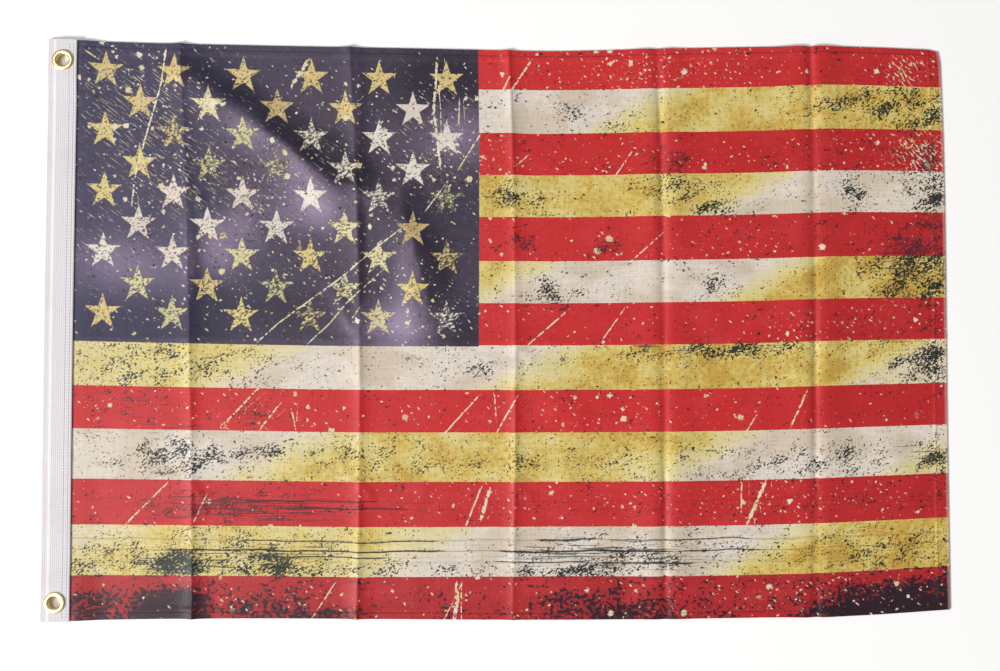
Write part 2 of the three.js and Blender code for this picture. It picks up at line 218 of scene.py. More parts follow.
# Small wrinkles where creases cross: a run of points, height (less than 0 is a groove) and reach.
PINCHES = (
    (((-146, -6), (-158, 14), (-166, 34)), 1.5, 4.5),
    (((-146, -6), (-136, 16), (-132, 40)), 1.3, 4.5),
    (((-147, -8), (-128, -14), (-104, -12)), 1.0, 4.0),
    (((-147, -8), (-170, -12), (-196, -6)), 0.9, 4.0),
    (((-150, 146), (-138, 134), (-120, 124)), 1.2, 4.0),
    (((-150, 146), (-168, 150), (-186, 144)), 0.9, 4.0),
    (((-314, 144), (-302, 130), (-296, 108)), 1.1, 4.5),
    (((-307, -150), (-298, -162), (-292, -182)), 0.9, 4.0),
    (((-307, -150), (-316, -140), (-322, -122)), 0.8, 4.0),
    (((-145, -151), (-134, -160), (-128, -178)), 0.9, 4.0),
    (((-145, -151), (-156, -142), (-160, -122)), 0.8, 4.0),
    (((10, -150), (24, -160), (34, -178)), 0.8, 4.0),
    (((10, -12), (26, -24), (34, -44)), 0.8, 4.0),
    (((60, -62), (50, -84), (44, -104)), 0.7, 4.5),
    (((84, -60), (78, -88), (66, -110)), 0.7, 4.5),
    (((56, -112), (64, -126), (70, -148)), 0.6, 4.5),
    (((-110, -112), (-118, -128), (-122, -146)), 0.6, 4.5),
    (((-72, -150), (-84, -170), (-90, -196)), 0.6, 4.5),
    (((196, 74), (214, 62), (238, 58)), 0.6, 5.0),
    (((160, 145), (172, 136), (190, 130)), 0.7, 4.0),
    (((315, 145), (330, 138), (350, 138)), 0.7, 4.0),
    (((315, -12), (302, -22), (288, -24)), 0.7, 4.0),
    (((161, -12), (174, -20), (188, -34)), 0.7, 4.0),
    (((-60, 168), (-40, 160), (-26, 164)), 0.6, 6.0),
    (((-318, 254), (-262, 222), (-206, 176), (-166, 132)), 2.2, 9.0),
    (((-112, 128), (-98, 108), (-82, 84), (-68, 56), (-60, 30)), 2.2, 6.0),
    (((-142, 150), (-138, 80), (-136, 20), (-143, -12)), -1.8, 5.0),
    (((-245, 205), (-215, 172), (-200, 140)), -1.2, 8.0),
    (((-264, 112), (-240, 96), (-226, 70)), 1.2, 7.0),
    (((-130, 100), (-116, 70), (-112, 34)), 1.0, 7.0),
)
# Puckers along a seam: height, length of one, and how far they reach from the seam.
PUCKER, PUCKER_LENGTH, PUCKER_REACH = 0.16, 17.5, 7
PUCKER_DRIFT, DRIFT_LENGTH = 1.6, 21  # how its pace wanders
PRESSED, PRESSED_RUN = 4, 12  # the strip beside the tape that is pressed flat, and where that ends


def eased_steps(count, crowd):
    """count steps from 0 up to 1, not reaching it, crowded at both ends as t - c sin(2 pi t) / (2 pi)."""
    t = np.arange(count) / count
    return t - crowd * np.sin(2 * math.pi * t) / (2 * math.pi)


def cloth_grid():
    """Rows and columns crowd towards the creases. Each column keeps its share of the panel between two
    creases, so that a whole column of points lies on each crease's line."""
    edge, half = np.array(HEM_ROWS), FLAG_H / 2
    marks = [-half + HEM_W, *(at for at, _ in reversed(CROSS_CREASES)), half - HEM_W]
    rows = [a + (b - a) * eased_steps(n, 0.45) for a, b, n in zip(marks, marks[1:], PANEL_ROWS)]
    y = np.concatenate([-half + edge, *rows, [marks[-1]], half - edge[::-1]])[:, None]
    lines = [np.full_like(y, TAPE_EDGE_X - CLOTH_IN_TAPE)]
    lines += [crease_x(line, y) for line, _, _, _ in CREASES]
    lines += [np.full_like(y, FLAG_W / 2 - FLY_COLUMNS[0])]
    panels = [a + (b - a) * eased_steps(PANEL_COLUMNS, 0.6) for a, b in zip(lines, lines[1:])]
    fly = np.broadcast_to(FLAG_W / 2 - np.array(FLY_COLUMNS), (len(y), len(FLY_COLUMNS)))
    x = np.concatenate([*panels, fly], axis=1)
    return x, np.broadcast_to(y, x.shape)


def wrinkles(x, y):
    """Each pinch is a bell across its run, swelling as a half sine along it. A seam's puckers are a
    sine along the seam, of wandering pace, under a bell across it."""
    total = np.zeros(np.shape(x))
    for run, high, reach in PINCHES:
        d, _, along, length = nearest_on_run(run, x, y)
        total += high * np.sin(math.pi * np.clip(along / length, 0.04, 0.96)) * np.exp(-((d / reach) ** 2))
    from_hem = FLAG_H / 2 - HEM_W - np.abs(y), FLAG_W / 2 - FLY_HEM_W - x, x - TAPE_EDGE_X
    for gap, along in zip(from_hem, (x, y, y)):
        ripple = np.sin(2 * math.pi * along / PUCKER_LENGTH + PUCKER_DRIFT * np.sin(along / DRIFT_LENGTH))
        total += PUCKER * ripple * np.exp(-((gap / PUCKER_REACH) ** 2))
    return total


def cloth_low(x, y):
    """Height of the cloth's lower face, wrinkles and all, which never goes under the surface. The
    wrinkles die away towards the tape, which presses them flat."""
    pressed = smooth((x - TAPE_EDGE_X - PRESSED) / PRESSED_RUN)
    return np.maximum(cloth_underside(x, y) + wrinkles(x, y) * pressed, 0)


def cloth_top(x, y):
    """Height of the cloth's upper face: its thickness and the hems' above the lower one."""
    return cloth_low(x, y) + CLOTH_T + hem_extra(x, y)


def sheet_mesh(name, outer, inner, flat, holes, material):
    """A closed sheet from two grids of points, its outer and inner face, with walls round the rim. Round
    each hole's centre, points nearer than the punch's radius are pushed out to it, and faces that lay
    wholly inside are left out. Gives the piece, and which points of both grids it uses."""
    outer, inner = outer.copy(), inner.copy()
    inside = np.zeros(outer.shape[:2], bool)
    for centre in holes:
        for face in (outer, inner):
            away = face[..., :2] - centre
            r = np.hypot(away[..., 0], away[..., 1])
            push = np.where(r < PUNCHED_R, PUNCHED_R / np.maximum(r, 1e-6), 1.0)
            face[..., :2] = centre + away * push[..., None]
            inside |= r < PUNCHED_R
    rows, columns = inside.shape
    count = rows * columns
    at = np.arange(count).reshape(rows, columns)
    corners = [at[:-1, :-1], at[:-1, 1:], at[1:, 1:], at[1:, :-1]]
    quads = np.stack(corners, -1).reshape(-1, 4)
    quads = quads[~inside.ravel()[quads].all(1)]
    edges = np.stack([quads, np.roll(quads, -1, 1)], -1).reshape(-1, 2)
    _, first, times = np.unique(np.sort(edges, 1), axis=0, return_index=True, return_counts=True)
    rim = edges[first[times == 1]]
    walls = np.stack([rim[:, 1], rim[:, 0], rim[:, 0] + count, rim[:, 1] + count], -1)
    faces = np.concatenate([quads, quads[:, ::-1] + count, walls])
    used = np.zeros(2 * count, bool)
    used[faces] = True
    faces = (np.cumsum(used) - 1)[faces]
    points = np.concatenate([outer.reshape(-1, 3), inner.reshape(-1, 3)])[used] * MM
    both = np.concatenate([flat.reshape(-1, 2)] * 2)[used]
    return mesh_piece(name, points, faces, material, both), used


def mesh_piece(name, points, faces, material, flat=None):
    """An object from arrays of points and four-cornered faces, smooth shaded, standing at the origin.
    Flat gives each point's place on the flat cloth, which becomes the UV map."""
    mesh = bpy.data.meshes.new(name)
    mesh.vertices.add(len(points))
    mesh.vertices.foreach_set("co", points.astype(np.float32).ravel())
    mesh.loops.add(faces.size)
    mesh.loops.foreach_set("vertex_index", faces.astype(np.int32).ravel())
    mesh.polygons.add(len(faces))
    mesh.polygons.foreach_set("loop_start", np.arange(0, faces.size, 4, dtype=np.int32))
    mesh.polygons.foreach_set("use_smooth", np.ones(len(faces), bool))
    mesh.update(calc_edges=True)
    mesh.materials.append(material)
    if flat is not None:
        uv = mesh.uv_layers.new(name="OFBake")
        uv.uv.foreach_set("vector", flat[faces].astype(np.float32).ravel())
    piece = bpy.data.objects.new(name, mesh)
    bpy.context.scene.collection.objects.link(piece)
    return piece


def linear(colour):
    """An sRGB hex colour, as the linear RGBA that a shader takes."""
    parts = [int(colour[i : i + 2], 16) / 255 for i in (1, 3, 5)]
    return (*(c / 12.92 if c <= 0.04045 else ((c + 0.055) / 1.055) ** 2.4 for c in parts), 1.0)


# Nodes in the settings that come back most, by a short name: the node, its settings, and the numbers of
# its inputs and output. More is the first value and the second times the third. Rise is 0 below its low
# and 1, or its top, above its high, with a soft step between. Over takes a colour, a mask, and the ink
# that is printed or worn over the colour where the mask is 1.
USUAL = {
    "Sum": ("Math", {"operation": "ADD"}, (0, 1), 0),
    "Less": ("Math", {"operation": "SUBTRACT"}, (0, 1), 0),
    "Times": ("Math", {"operation": "MULTIPLY"}, (0, 1), 0),
    "More": ("Math", {"operation": "MULTIPLY_ADD"}, (2, 0, 1), 0),
    "Rise": ("MapRange", {"interpolation_type": "SMOOTHSTEP"}, (0, 1, 2, 4), 0),
    "Over": ("Mix", {"data_type": "RGBA"}, (6, 0, 7), 2),
}


def new_material(name):
    """An empty material with nodes, and the function that adds one node to it."""
    made = bpy.data.materials.new(name)
    made.use_nodes = True
    tree = made.node_tree
    tree.nodes.clear()

    def add(kind, *inputs, out=0, into=(), stops=(), ramp="LINEAR", **settings):
        """Adds a node with its settings and links, and gives back one output, if there is one. Inputs
        come in order, or by name or number in into: a socket is linked to and a value is set. Stops
        are a colour ramp's. A sum or product of more than two is taken two at a time."""
        if kind in ("Sum", "Times") and len(inputs) > 2:
            inputs = add(kind, *inputs[:-1]), inputs[-1]
        kind, usual, places, out = USUAL.get(kind, (kind, {}, range(len(inputs)), out))
        node = tree.nodes.new("ShaderNode" + kind)
        for key, value in {**usual, **settings}.items():
            setattr(node, key, value)
        for place, (position, colour) in enumerate(stops):
            node.color_ramp.interpolation = ramp
            stop = node.color_ramp.elements[place] if place < 2 else node.color_ramp.elements.new(position)
            stop.position, stop.color = position, colour
        for key, value in [*zip(places, inputs), *dict(into).items()]:
            if isinstance(value, bpy.types.NodeSocket):
                tree.links.new(value, node.inputs[key])
            else:
                node.inputs[key].default_value = value
        return node.outputs[out] if node.outputs else None

    return made, add


# Printed polyester: dye in thin, tightly woven filament yarn. It gives the eye flat ink colours with a
# soft satin sheen that shifts over folds, a fine even weave, and the hard-edged wear of the print.
printed_cloth, add = new_material("plain_weave_polyester_printed")

# The flat cloth in millimetres from its middle, which every pattern below is measured in. The print went
# on a little out of true, so its own y comes with the mesh, as does how much of each stain there is, and
# of the painted sheen and shade over the canton's folds.
uv_map = add("UVMap", uv_map="OFBake")
to = (uv_map, (FLAG_W, FLAG_H, 0), (-FLAG_W / 2, -FLAG_H / 2, 0))
flat_mm = add("VectorMath", *to, operation="MULTIPLY_ADD")
x_mm = add("SeparateXYZ", flat_mm, out="X")
y_mm = add("Attribute", attribute_name="print_y", out="Fac")
tea, fade_and_painted_light, soot, chips, scuffs, grime, smear, star_tone, star_wear = (
    add("Attribute", attribute_name=stain_and_sheen, out="Fac")
    for stain_and_sheen in ("tea", "fade_and_painted_light", "soot", "chips", "scuffs", "grime", "smear", "star_tone", "star_wear")
)


def blotches(long, wide, turn=0.0, detail=2.0, place=(0, 0, 0)):
    """Smooth noise from 0 to 1 whose blotches measure long by wide millimetres, turned by an angle."""
    turned_by = (0, 0, math.radians(turn))
    to = {"Vector": flat_mm, "Location": place, "Rotation": turned_by, "Scale": (long, wide, 1)}
    place_in = add("Mapping", into=to, vector_type="TEXTURE")
    return add("TexNoise", into={"Vector": place_in, "Scale": 1.0, "Detail": detail}, noise_dimensions="2D")


# Thirteen stripes from the top, with the y of the edges between them, and the canton's two inner edges.
STRIPE_EDGES = (243.8, 198.8, 156, 114, 70.5, 27, -14.6, -58.4, -102, -149.2, -194.6, -243)
STRIPE_REDS = ("#C52C2D", "#BE2728", "#C22B2C", "#C2292B", "#C4292B", "#C02A2C", "#AE282B")
CANTON_RIGHT, CANTON_BELOW = -24.6, STRIPE_EDGES[6]
PRINT_RAGGED = 0.25  # how far the ink's edge strays either way
STAR_RAGGED = 1.6  # and the stars' edges, as a multiple of that
INK_EDGE = 0.4  # how softly the canton's ink ends either way

ragged = add("MapRange", blotches(3.2, 3.2, detail=3), 0.2, 0.8, -PRINT_RAGGED, PRINT_RAGGED)
up_flag = add("Math", add("Sum", y_mm, ragged, FLAG_H / 2), FLAG_H, operation="DIVIDE")
stripe_starts = [0, *(edge / FLAG_H + 0.5 for edge in reversed(STRIPE_EDGES))]
shades = [linear(STRIPE_REDS[(12 - k) // 2]) for k in range(13)]
red = add("ValToRGB", up_flag, stops=list(zip(stripe_starts, shades)), ramp="CONSTANT")
every_other = [(float(k % 2),) * 3 + (1,) for k in range(13)]
light_stripe = add("ValToRGB", up_flag, stops=list(zip(stripe_starts, every_other)), ramp="CONSTANT")
left_of = add("Rise", add("Sum", x_mm, ragged), CANTON_RIGHT + INK_EDGE, CANTON_RIGHT - INK_EDGE)
above = add("Rise", add("Sum", y_mm, ragged), CANTON_BELOW - INK_EDGE, CANTON_BELOW + INK_EDGE)
canton = add("Times", left_of, above)

# Threads of uneven thickness, far coarser than the real 0.2 mm yarn so that they still show.
weft = blotches(34, 1.7, detail=1)
warp = blotches(1.7, 26, detail=1, place=(7, 3, 0))

# The light inks are off-white, or stained like tea: pale straw at a stain's rim and ochre in its middle.
# The reds are a little pinker in clouds, as painted sheen, and darker towards the fly, as painted shade
# where the lamps' light falls off.
cloudy = blotches(38, 30, detail=4)
mottle = blotches(5, 5, detail=3)
clouded = add("Times", tea, add("Sum", cloudy, -0.5), 1.2)
mottled = add("Times", add("Rise", tea, 0.02, 0.3), add("Sum", mottle, -0.5), 0.7)
tea_patchy = add("Sum", add("Sum", tea, clouded), mottled, use_clamp=True)
dingy = blotches(60, 45, detail=4, place=(90, 50, 0))
white_ink = add("Over", linear("#DDD3C7"), add("Rise", dingy, 0.42, 0.62, 0.7), linear("#C8B69F"))
white_ink = add("Over", white_ink, add("Rise", mottle, 0.35, 0.7, 0.25), linear("#C2B09C"))
stops = [(0, "#D8CDC0"), (0.3, "#D9CCA2"), (0.62, "#D6C57C"), (0.85, "#CCB05A"), (1, "#C09C48")]
yellow_ink = add("ValToRGB", tea_patchy, stops=[(at, linear(tone)) for at, tone in stops])
light = add("Over", white_ink, add("Rise", tea_patchy, 0.0, 0.3), yellow_ink)
# Painted sheen: pinker clouds on the reds. Painted shade: the reds darker towards the fly.
red = add("Over", red, add("Rise", cloudy, 0.45, 0.7, 0.25), linear("#D23E48"))
red = add("Over", red, add("Rise", x_mm, 150, 440, 0.4), linear("#9E1B1E"))
ink = add("Over", red, light_stripe, light)

# The canton's blue has gone to a grey violet, and is bluer at the hoist. Over its folds its colour is
# painted paler and darker, as painted sheen and painted shade.
rubbed_and_painted_light = add("Rise", add("More", fade_and_painted_light, mottle, 0.14), 0.0, 1.1)
canton_ink_worn_and_painted_light = add("Over", linear("#2B2535"), rubbed_and_painted_light, linear("#96849F"))
canton_ink_worn_and_painted_light = add("Over", canton_ink_worn_and_painted_light, add("Rise", x_mm, -160, -430, 0.24), linear("#3C4474"))
ink = add("Over", ink, canton, canton_ink_worn_and_painted_light)

# Five-pointed stars on two lattices, one half a step off the other. A star's half point is a triangle
# between its tip and its inner corner, repeated by folding the angle.
STAR_R, STAR_TALLER, STAR_PITCH, STAR_FIRST = 16.6, 1.06, (33.68, 30.2), (-393.8, 256.2)
STAR_SINK, STAR_LOWER = 0.0046, 1.3  # the rows fall this much a millimetre, and every other one by more
STAR_IN = 0.385 * STAR_R
TURN = math.pi / 5
square_to_edge = np.array([STAR_IN * math.sin(TURN), STAR_R - STAR_IN * math.cos(TURN)])
square_to_edge /= np.hypot(*square_to_edge)
sunk = add("Times", add("Sum", x_mm, -STAR_FIRST[0]), STAR_SINK)
level = add("CombineXYZ", x_mm, add("Sum", y_mm, sunk))
stars = []
for step in (0, 1):
    first = (STAR_FIRST[0] + step * STAR_PITCH[0], STAR_FIRST[1] + step * (STAR_PITCH[1] - STAR_LOWER), 0)
    shifted = add("VectorMath", level, first, operation="SUBTRACT")
    to = {0: shifted, 1: (*STAR_PITCH, 1), 2: (-STAR_PITCH[0], -STAR_PITCH[1], -1)}
    local = add("VectorMath", into=to, operation="WRAP")
    local_x = add("SeparateXYZ", local, out="X")
    local_y = add("Math", add("SeparateXYZ", local, out="Y"), STAR_TALLER, operation="DIVIDE")
    radius = add("VectorMath", add("CombineXYZ", local_x, local_y), out="Value", operation="LENGTH")
    angle = add("Math", add("Math", local_x, local_y, operation="ARCTAN2"), TURN, operation="PINGPONG")
    across = add("Times", radius, add("Math", angle, operation="SINE"), float(square_to_edge[1]))
    outward = add("Sum", add("Times", radius, add("Math", angle, operation="COSINE")), -STAR_R)
    stars.append(add("More", across, outward, float(square_to_edge[0])))
# The second lattice has no stars beyond these four sides, x and then y, so its rows are the short ones.
inside = [add("Rise", x_mm, -407, -406), add("Rise", x_mm, -42, -43)]
inside += [add("Rise", y_mm, 269, 268), add("Rise", y_mm, 7, 8)]
left_out = add("Times", add("Less", 1.0, add("Times", *inside)), STAR_R)
star = add("Math", stars[0], add("Sum", stars[1], left_out), operation="MINIMUM")
stops = [(0, "#D3BC80"), (0.15, "#C3AC78"), (0.35, "#D9C683"), (0.5, "#C3BC8C"), (0.65, "#D6CA9E"),
         (0.85, "#DACDC0"), (1, "#DDD4CB")]
star_ink = add("ValToRGB", star_tone, stops=[(at, linear(tone)) for at, tone in stops])
star_ink = add("Over", star_ink, add("Rise", mottle, 0.5, 0.75, 0.25), linear("#A98544"))
mould = add("More", blotches(3.4, 2.3, turn=30, detail=4, place=(14, 6, 0)), star_wear, 0.2)
star_ink = add("Over", star_ink, add("Rise", mould, 0.64, 0.7, 0.85), linear("#39453F"))
whole = add("Rise", add("More", star, ragged, STAR_RAGGED), 0.8, 0.0)
crazed = blotches(4.2, 2.6, turn=20, detail=3)
chipped = add("Rise", add("More", crazed, star_wear, 0.17), 0.735, 0.7)
starry = add("Times", whole, canton, chipped)
ink = add("Over", ink, starry, star_ink)

# Soot creeps up from the bottom edge in ragged tongues, with a speckled crust.
tongues = add("MapRange", blotches(24, 16, detail=5), 0.25, 0.75, -0.35, 0.35)
crust = add("MapRange", blotches(4.2, 3.4, detail=7, place=(3, 1, 0)), 0.25, 0.75, -0.65, 0.65)
ink = add("Over", ink, add("Rise", add("Sum", soot, tongues), 0.2, 1.1, 0.7), linear("#561824"))
ink = add("Over", ink, add("Rise", add("Sum", soot, tongues, crust), 0.5, 0.72, 0.95), linear("#241824"))


def cells(at):
    """A loose net of cells, 1 wide: how far each place is from its cell's own point, and two numbers
    from 0 to 1 that belong to the cell."""
    to = {"Vector": at, "Scale": 1.0}
    away = add("TexVoronoi", into=to, voronoi_dimensions="2D")
    own = add("TexVoronoi", into=to, out=1, voronoi_dimensions="2D")
    return away, add("SeparateColor", own, out=0), add("SeparateColor", own, out=1)


# Splatter: cream chips and drops where the ink has come away, each in its own cell. A row gives the
# cell, the least and greatest reach of a drop, the cell's turn, how long it is, and how many have one.
on_light = add("Times", light_stripe, add("Less", 1.0, canton))
on_dark = add("Less", 1.0, on_light)
cream = add("Over", linear("#DCD3BE"), add("Rise", cloudy, 0.42, 0.62), linear("#D3C392"))
bent = add("TexNoise", into={"Vector": flat_mm, "Scale": 0.45, "Detail": 2.0}, out=1, noise_dimensions="2D")
for cell, smallest, largest, turn, longer, many in (
    (12.0, 0.3, 3.3, 0, 1.0, 0.48),
    (5.6, 0.1, 1.1, 25, 1.3, 0.6),
    (4.0, 0.05, 0.75, -38, 2.2, 0.8),
):
    to = {"Vector": flat_mm, "Rotation": (0, 0, math.radians(turn)), "Scale": (cell * longer, cell, 1)}
    in_net = add("Mapping", into=to, vector_type="TEXTURE")
    away, chance, own = cells(add("VectorMath", bent, (0.4, 0.4, 0), in_net, operation="MULTIPLY_ADD"))
    own = add("Math", own, 3.0, operation="POWER")
    reach = add("MapRange", own, 0.0, 1.0, smallest / cell, largest / cell)
    has_one = add("Rise", add("Less", add("Times", chips, many), chance), 0.0, 0.04)
    drop = add("Rise", add("Less", away, reach), 0.3 / cell, -0.3 / cell)
    ink = add("Over", ink, add("Times", has_one, drop, on_dark), cream)

# Near the fly it has come off in scribbles.
scribble = blotches(6.5, 2.0, turn=-52, detail=4, place=(70, 40, 0))
flaked = add("Rise", add("More", scribble, chips, 0.11), 0.71, 0.75)
flaked = add("Times", flaked, on_dark, add("Rise", chips, 0.5, 0.9), add("Rise", x_mm, 366, 400))
ink = add("Over", ink, flaked, cream)

# Fine slanting scuffs in the canton, as thin broken lines.
lines = add("Rise", add("More", blotches(16, 1.0, turn=-37, detail=2), scuffs, 0.16), 0.8, 0.88)
ink = add("Over", ink, add("Times", lines, canton, 0.8), add("Over", cream, 0.3, linear("#8E8A90")))

# Long scratches through the ink. Their distance and width come with the mesh, and noise breaks them up.
crumbs = blotches(3.4, 3.4, detail=3, place=(31, 17, 0))
for layer in "abc":
    away = add("Math", add("Attribute", attribute_name="scratch_" + layer, out="Fac"), operation="ABSOLUTE")
    wide = add("Attribute", attribute_name="width_" + layer, out="Fac")
    kept = add("Times", wide, add("Rise", crumbs, 0.28, 0.56))
    cut = add("Rise", add("Less", add("Times", kept, 1.35), away), 0.05, 0.5)
    ink = add("Over", ink, cut, cream)

# Pepper: small brown spots all over the light inks and the stars, from dirt in the print.
gathered = add("MapRange", blotches(26, 15, turn=20, detail=4, place=(60, 20, 0)), 0.3, 0.7, -0.4, 0.45)
grime = add("More", grime, gathered, add("Sum", add("Rise", grime, 0.0, 0.4, 0.65), 0.35))
PEPPER = 3.3  # the width of a cell that can hold one
in_net = add("VectorMath", flat_mm, (1 / PEPPER, 1 / PEPPER, 0), (0.37, 0.61, 0), operation="MULTIPLY_ADD")
away, chance, own = cells(add("VectorMath", bent, (0.35, 0.35, 0), in_net, operation="MULTIPLY_ADD"))
on_yellow = add("Times", tea_patchy, on_light, 0.26)
many = add("Sum", 0.04, add("Times", grime, 0.5), on_yellow, add("Times", starry, 0.15))
has_one = add("Rise", add("Less", many, chance), 0.0, 0.05)
pepper = add("Rise", add("Less", away, add("MapRange", own, 0.0, 1.0, 0.06, 0.25)), 0.06, -0.06)
brown = add("Over", linear("#523A22"), add("Rise", grime, 0.2, 0.6), linear("#1E2426"))
brown = add("Over", linear("#5A1C22"), add("Math", on_light, starry, operation="MAXIMUM"), brown)
ink = add("Over", ink, add("Times", has_one, pepper, 0.9), brown)

# Dark grime: small black-green marks that gather in clumps, and on the reds a purple bruise.
flecked = blotches(3.2, 1.8, turn=32, detail=4, place=(5, 9, 0))
flecked = add("Sum", flecked, add("Times", grime, 0.31), add("Times", on_light, 0.035))
less_here = add("More", 0.96, canton, -0.5), add("Sum", add("Times", on_light, 0.3), 0.7)
marks = add("Times", add("Rise", flecked, 0.77, 0.81), *less_here)
gritty = add("Rise", blotches(2.2, 1.5, turn=30, detail=3, place=(11, 3, 0)), 0.44, 0.54)
clotted = blotches(11, 6, turn=25, detail=5, place=(2, 8, 0))
clumps = add("Times", add("Rise", add("More", clotted, grime, 0.2), 0.7, 0.76), gritty, 0.92)

# Long level smears, as if the print had been dragged.
dragged = add("Rise", add("More", blotches(42, 1.6, detail=5), smear, 0.24), 0.68, 0.76)
scored = blotches(150, 1.8, detail=2, place=(40, 4, 0))
scored = add("Rise", add("More", scored, smear, 0.2), 0.78, 0.82)
dragged = add("Math", dragged, scored, operation="MAXIMUM")
dragged = add("Times", dragged, add("Rise", smear, 0.08, 0.3), 0.85)

# Each kind of dirt has its tone on the reds and on the light inks.
for mask, on_reds, on_lights in (
    (marks, "#2C1C22", "#181D20"),
    (clumps, "#401A26", "#1A2022"),
    (dragged, "#5A2431", "#2F3B38"),
):
    ink = add("Over", ink, mask, add("Over", linear(on_reds), on_light, linear(on_lights)))

# A few of the drags are long dark lines: y, from x to x, and width.
DRAGS = (
    (-217.5, -335, -54, 1.3), (-223.5, -250, -110, 1.0), (-208, -262, -60, 0.9), (-206.8, 28, 98, 1.4),
    (-218, -10, 172, 1.5), (-229.5, 92, 196, 1.3), (-207, 100, 252, 0.8), (-218, 170, 266, 0.8),
    (-228, -14, 92, 0.9), (-169, -260, -120, 0.9), (-176, -230, -90, 1.0),
)
drag_wave = add("Times", add("Sum", blotches(60, 60, place=(12, 80, 0)), -0.5), 5.0)
sooty = add("Over", linear("#3A1822"), on_light, linear("#1C2426"))
for at, begin, end, wide in DRAGS:
    away = add("Math", add("Sum", y_mm, drag_wave, -at), operation="ABSOLUTE")
    ends = add("Rise", x_mm, begin, begin + 12), add("Rise", x_mm, end, end - 12)
    reach = add("Times", *ends, add("Sum", crumbs, 0.1), wide)
    line = add("Rise", add("Less", away, reach), 0.35, -0.25)
    ink = add("Over", ink, add("Times", line, 0.92), sooty)

# Yarn by yarn, the cloth took a little more ink or less.
yarn = add("Sum", add("Times", weft, 0.2), add("Times", warp, 0.16), 0.82)

# Along each hem's seam the needle drew the cloth in, and between its stitches the cloth is painted dark:
# painted shadow in the drawn-in cloth, and the dirt that gathers in the needle holes.
HEM_ROW, FLY_ROW, STITCH_PITCH, SEAM_HALF = 6.0, 11.6, 3.1, 0.9
flat_y = add("SeparateXYZ", flat_mm, out="Y")
from_end = add("Less", FLAG_H / 2 - HEM_ROW, add("Math", flat_y, operation="ABSOLUTE"))
from_fly = add("Less", FLAG_W / 2 - FLY_ROW, x_mm)
for gap, along in ((from_end, x_mm), (from_fly, flat_y)):
    seam = add("Rise", add("Math", gap, operation="ABSOLUTE"), SEAM_HALF, 0.3 * SEAM_HALF)
    beat = add("Math", add("Times", along, 2 * math.pi / STITCH_PITCH), operation="SINE")
    between = add("MapRange", beat, -1.0, 0.6, 0.62, 0.2)
    ink = add("Over", ink, add("Times", seam, between), linear("#1E1216"))
# The turned edge at the fly has rubbed pale.
ink = add("Over", ink, add("Rise", x_mm, FLAG_W / 2 - 3.2, FLAG_W / 2 - 1.2, 0.3), linear("#E8C8C0"))
tint = add("HueSaturation", into={"Value": yarn, "Color": ink})

# Plain weave as bump: threads of 0.9 mm, which are four of the real ones, passing over and under.
THREAD = 0.9
across_x = add("Math", add("Times", x_mm, math.pi / THREAD), operation="SINE")
across_y = add("Math", add("Times", y_mm, math.pi / THREAD), operation="SINE")
weave = add("More", add("Times", across_x, across_y, 0.4), weft, 1.2)
weave = add("More", add("Sum", weave, warp), mottle, 0.5)
bump = add("Bump", into={"Height": weave, "Strength": 0.55, "Distance": 0.00016})
gloss = add("MapRange", mottle, 0.2, 0.8, 0.4, 0.52)
finish = {"Base Color": tint, "Roughness": gloss, "Normal": bump, "IOR": 1.5, "Specular IOR Level": 0.36,
          "Sheen Weight": 0.04, "Sheen Roughness": 0.35}
add("OutputMaterial", add("BsdfPrincipled", into=finish))


def soft_spots(x, y, spots):
    """Sum of soft spots, each given as x, y, reach along, reach up, strength, as a bell in both."""
    result = np.zeros(np.shape(x))
    for at_x, at_y, wide, high, strength in spots:
        result += strength * np.exp(-(((x - at_x) / wide) ** 2) - ((y - at_y) / high) ** 2)
    return result


# How yellow each light stripe has gone along its length, as x and yellowness, from the top stripe down.
# Each change leans over: along a stripe's top edge it comes this much later than in its middle.
TEA = (
    ((-25, 0.05), (95, 0.0), (172, 0.75), (450, 0.85)),
    ((-25, 0.75), (140, 0.75), (208, 0.78), (266, 0.08), (450, 0.12)),
    ((-25, 0.7), (-8, 0.55), (38, 0), (230, 0), (300, 0.85), (450, 0.95)),
    ((-430, 0.45), (-330, 0.6), (-288, 0.6), (-205, 0), (-8, 0.0), (70, 0.82), (355, 0.85), (402, 0.25),
     (450, 0.2)),
    ((-430, 0.05), (-262, 0.05), (-172, 0.7), (0, 0.8), (160, 0.75), (240, 0), (400, 0.05), (450, 0.4)),
    ((-430, 0.3), (-370, 0.6), (-148, 0.62), (-48, 0.05), (225, 0.02), (300, 0.8), (450, 0.9)),
)
TEA_LEAN, STRIPE_HALF = 42, 22

# How far the print strays from true along the flag, at even steps from the hoist to the fly.
PRINT_WAVE_DY = (2.2, 0.2, -1.0, -1.5, -0.5, 0.3, -0.3, -0.4, 1.1, 1.3)
# Rows of stars from the top: tone g gold, t tan, y yellow, o olive, p pale, c cream, w white, with wear.
STARS = (
    "g1 g1 g1 g1 g1 g1",
    "g1 p1 t1 g1 c0",
    "y1 g3 o2 c3 w1 w0",
    "y1 o3 o4 c3 w1",
    "y1 c1 c1 w0 w3 o4",
    "c1 w1 w1 p2 t1",
    "w1 c1 p1 y2 p2 t3",
    "p2 g2 o3 p3 y1",
    "g1 o2 y2 y4 p1 w4",
)
STAR_TONES = dict(g=0.0, t=0.15, y=0.35, o=0.5, p=0.65, c=0.85, w=1.0)
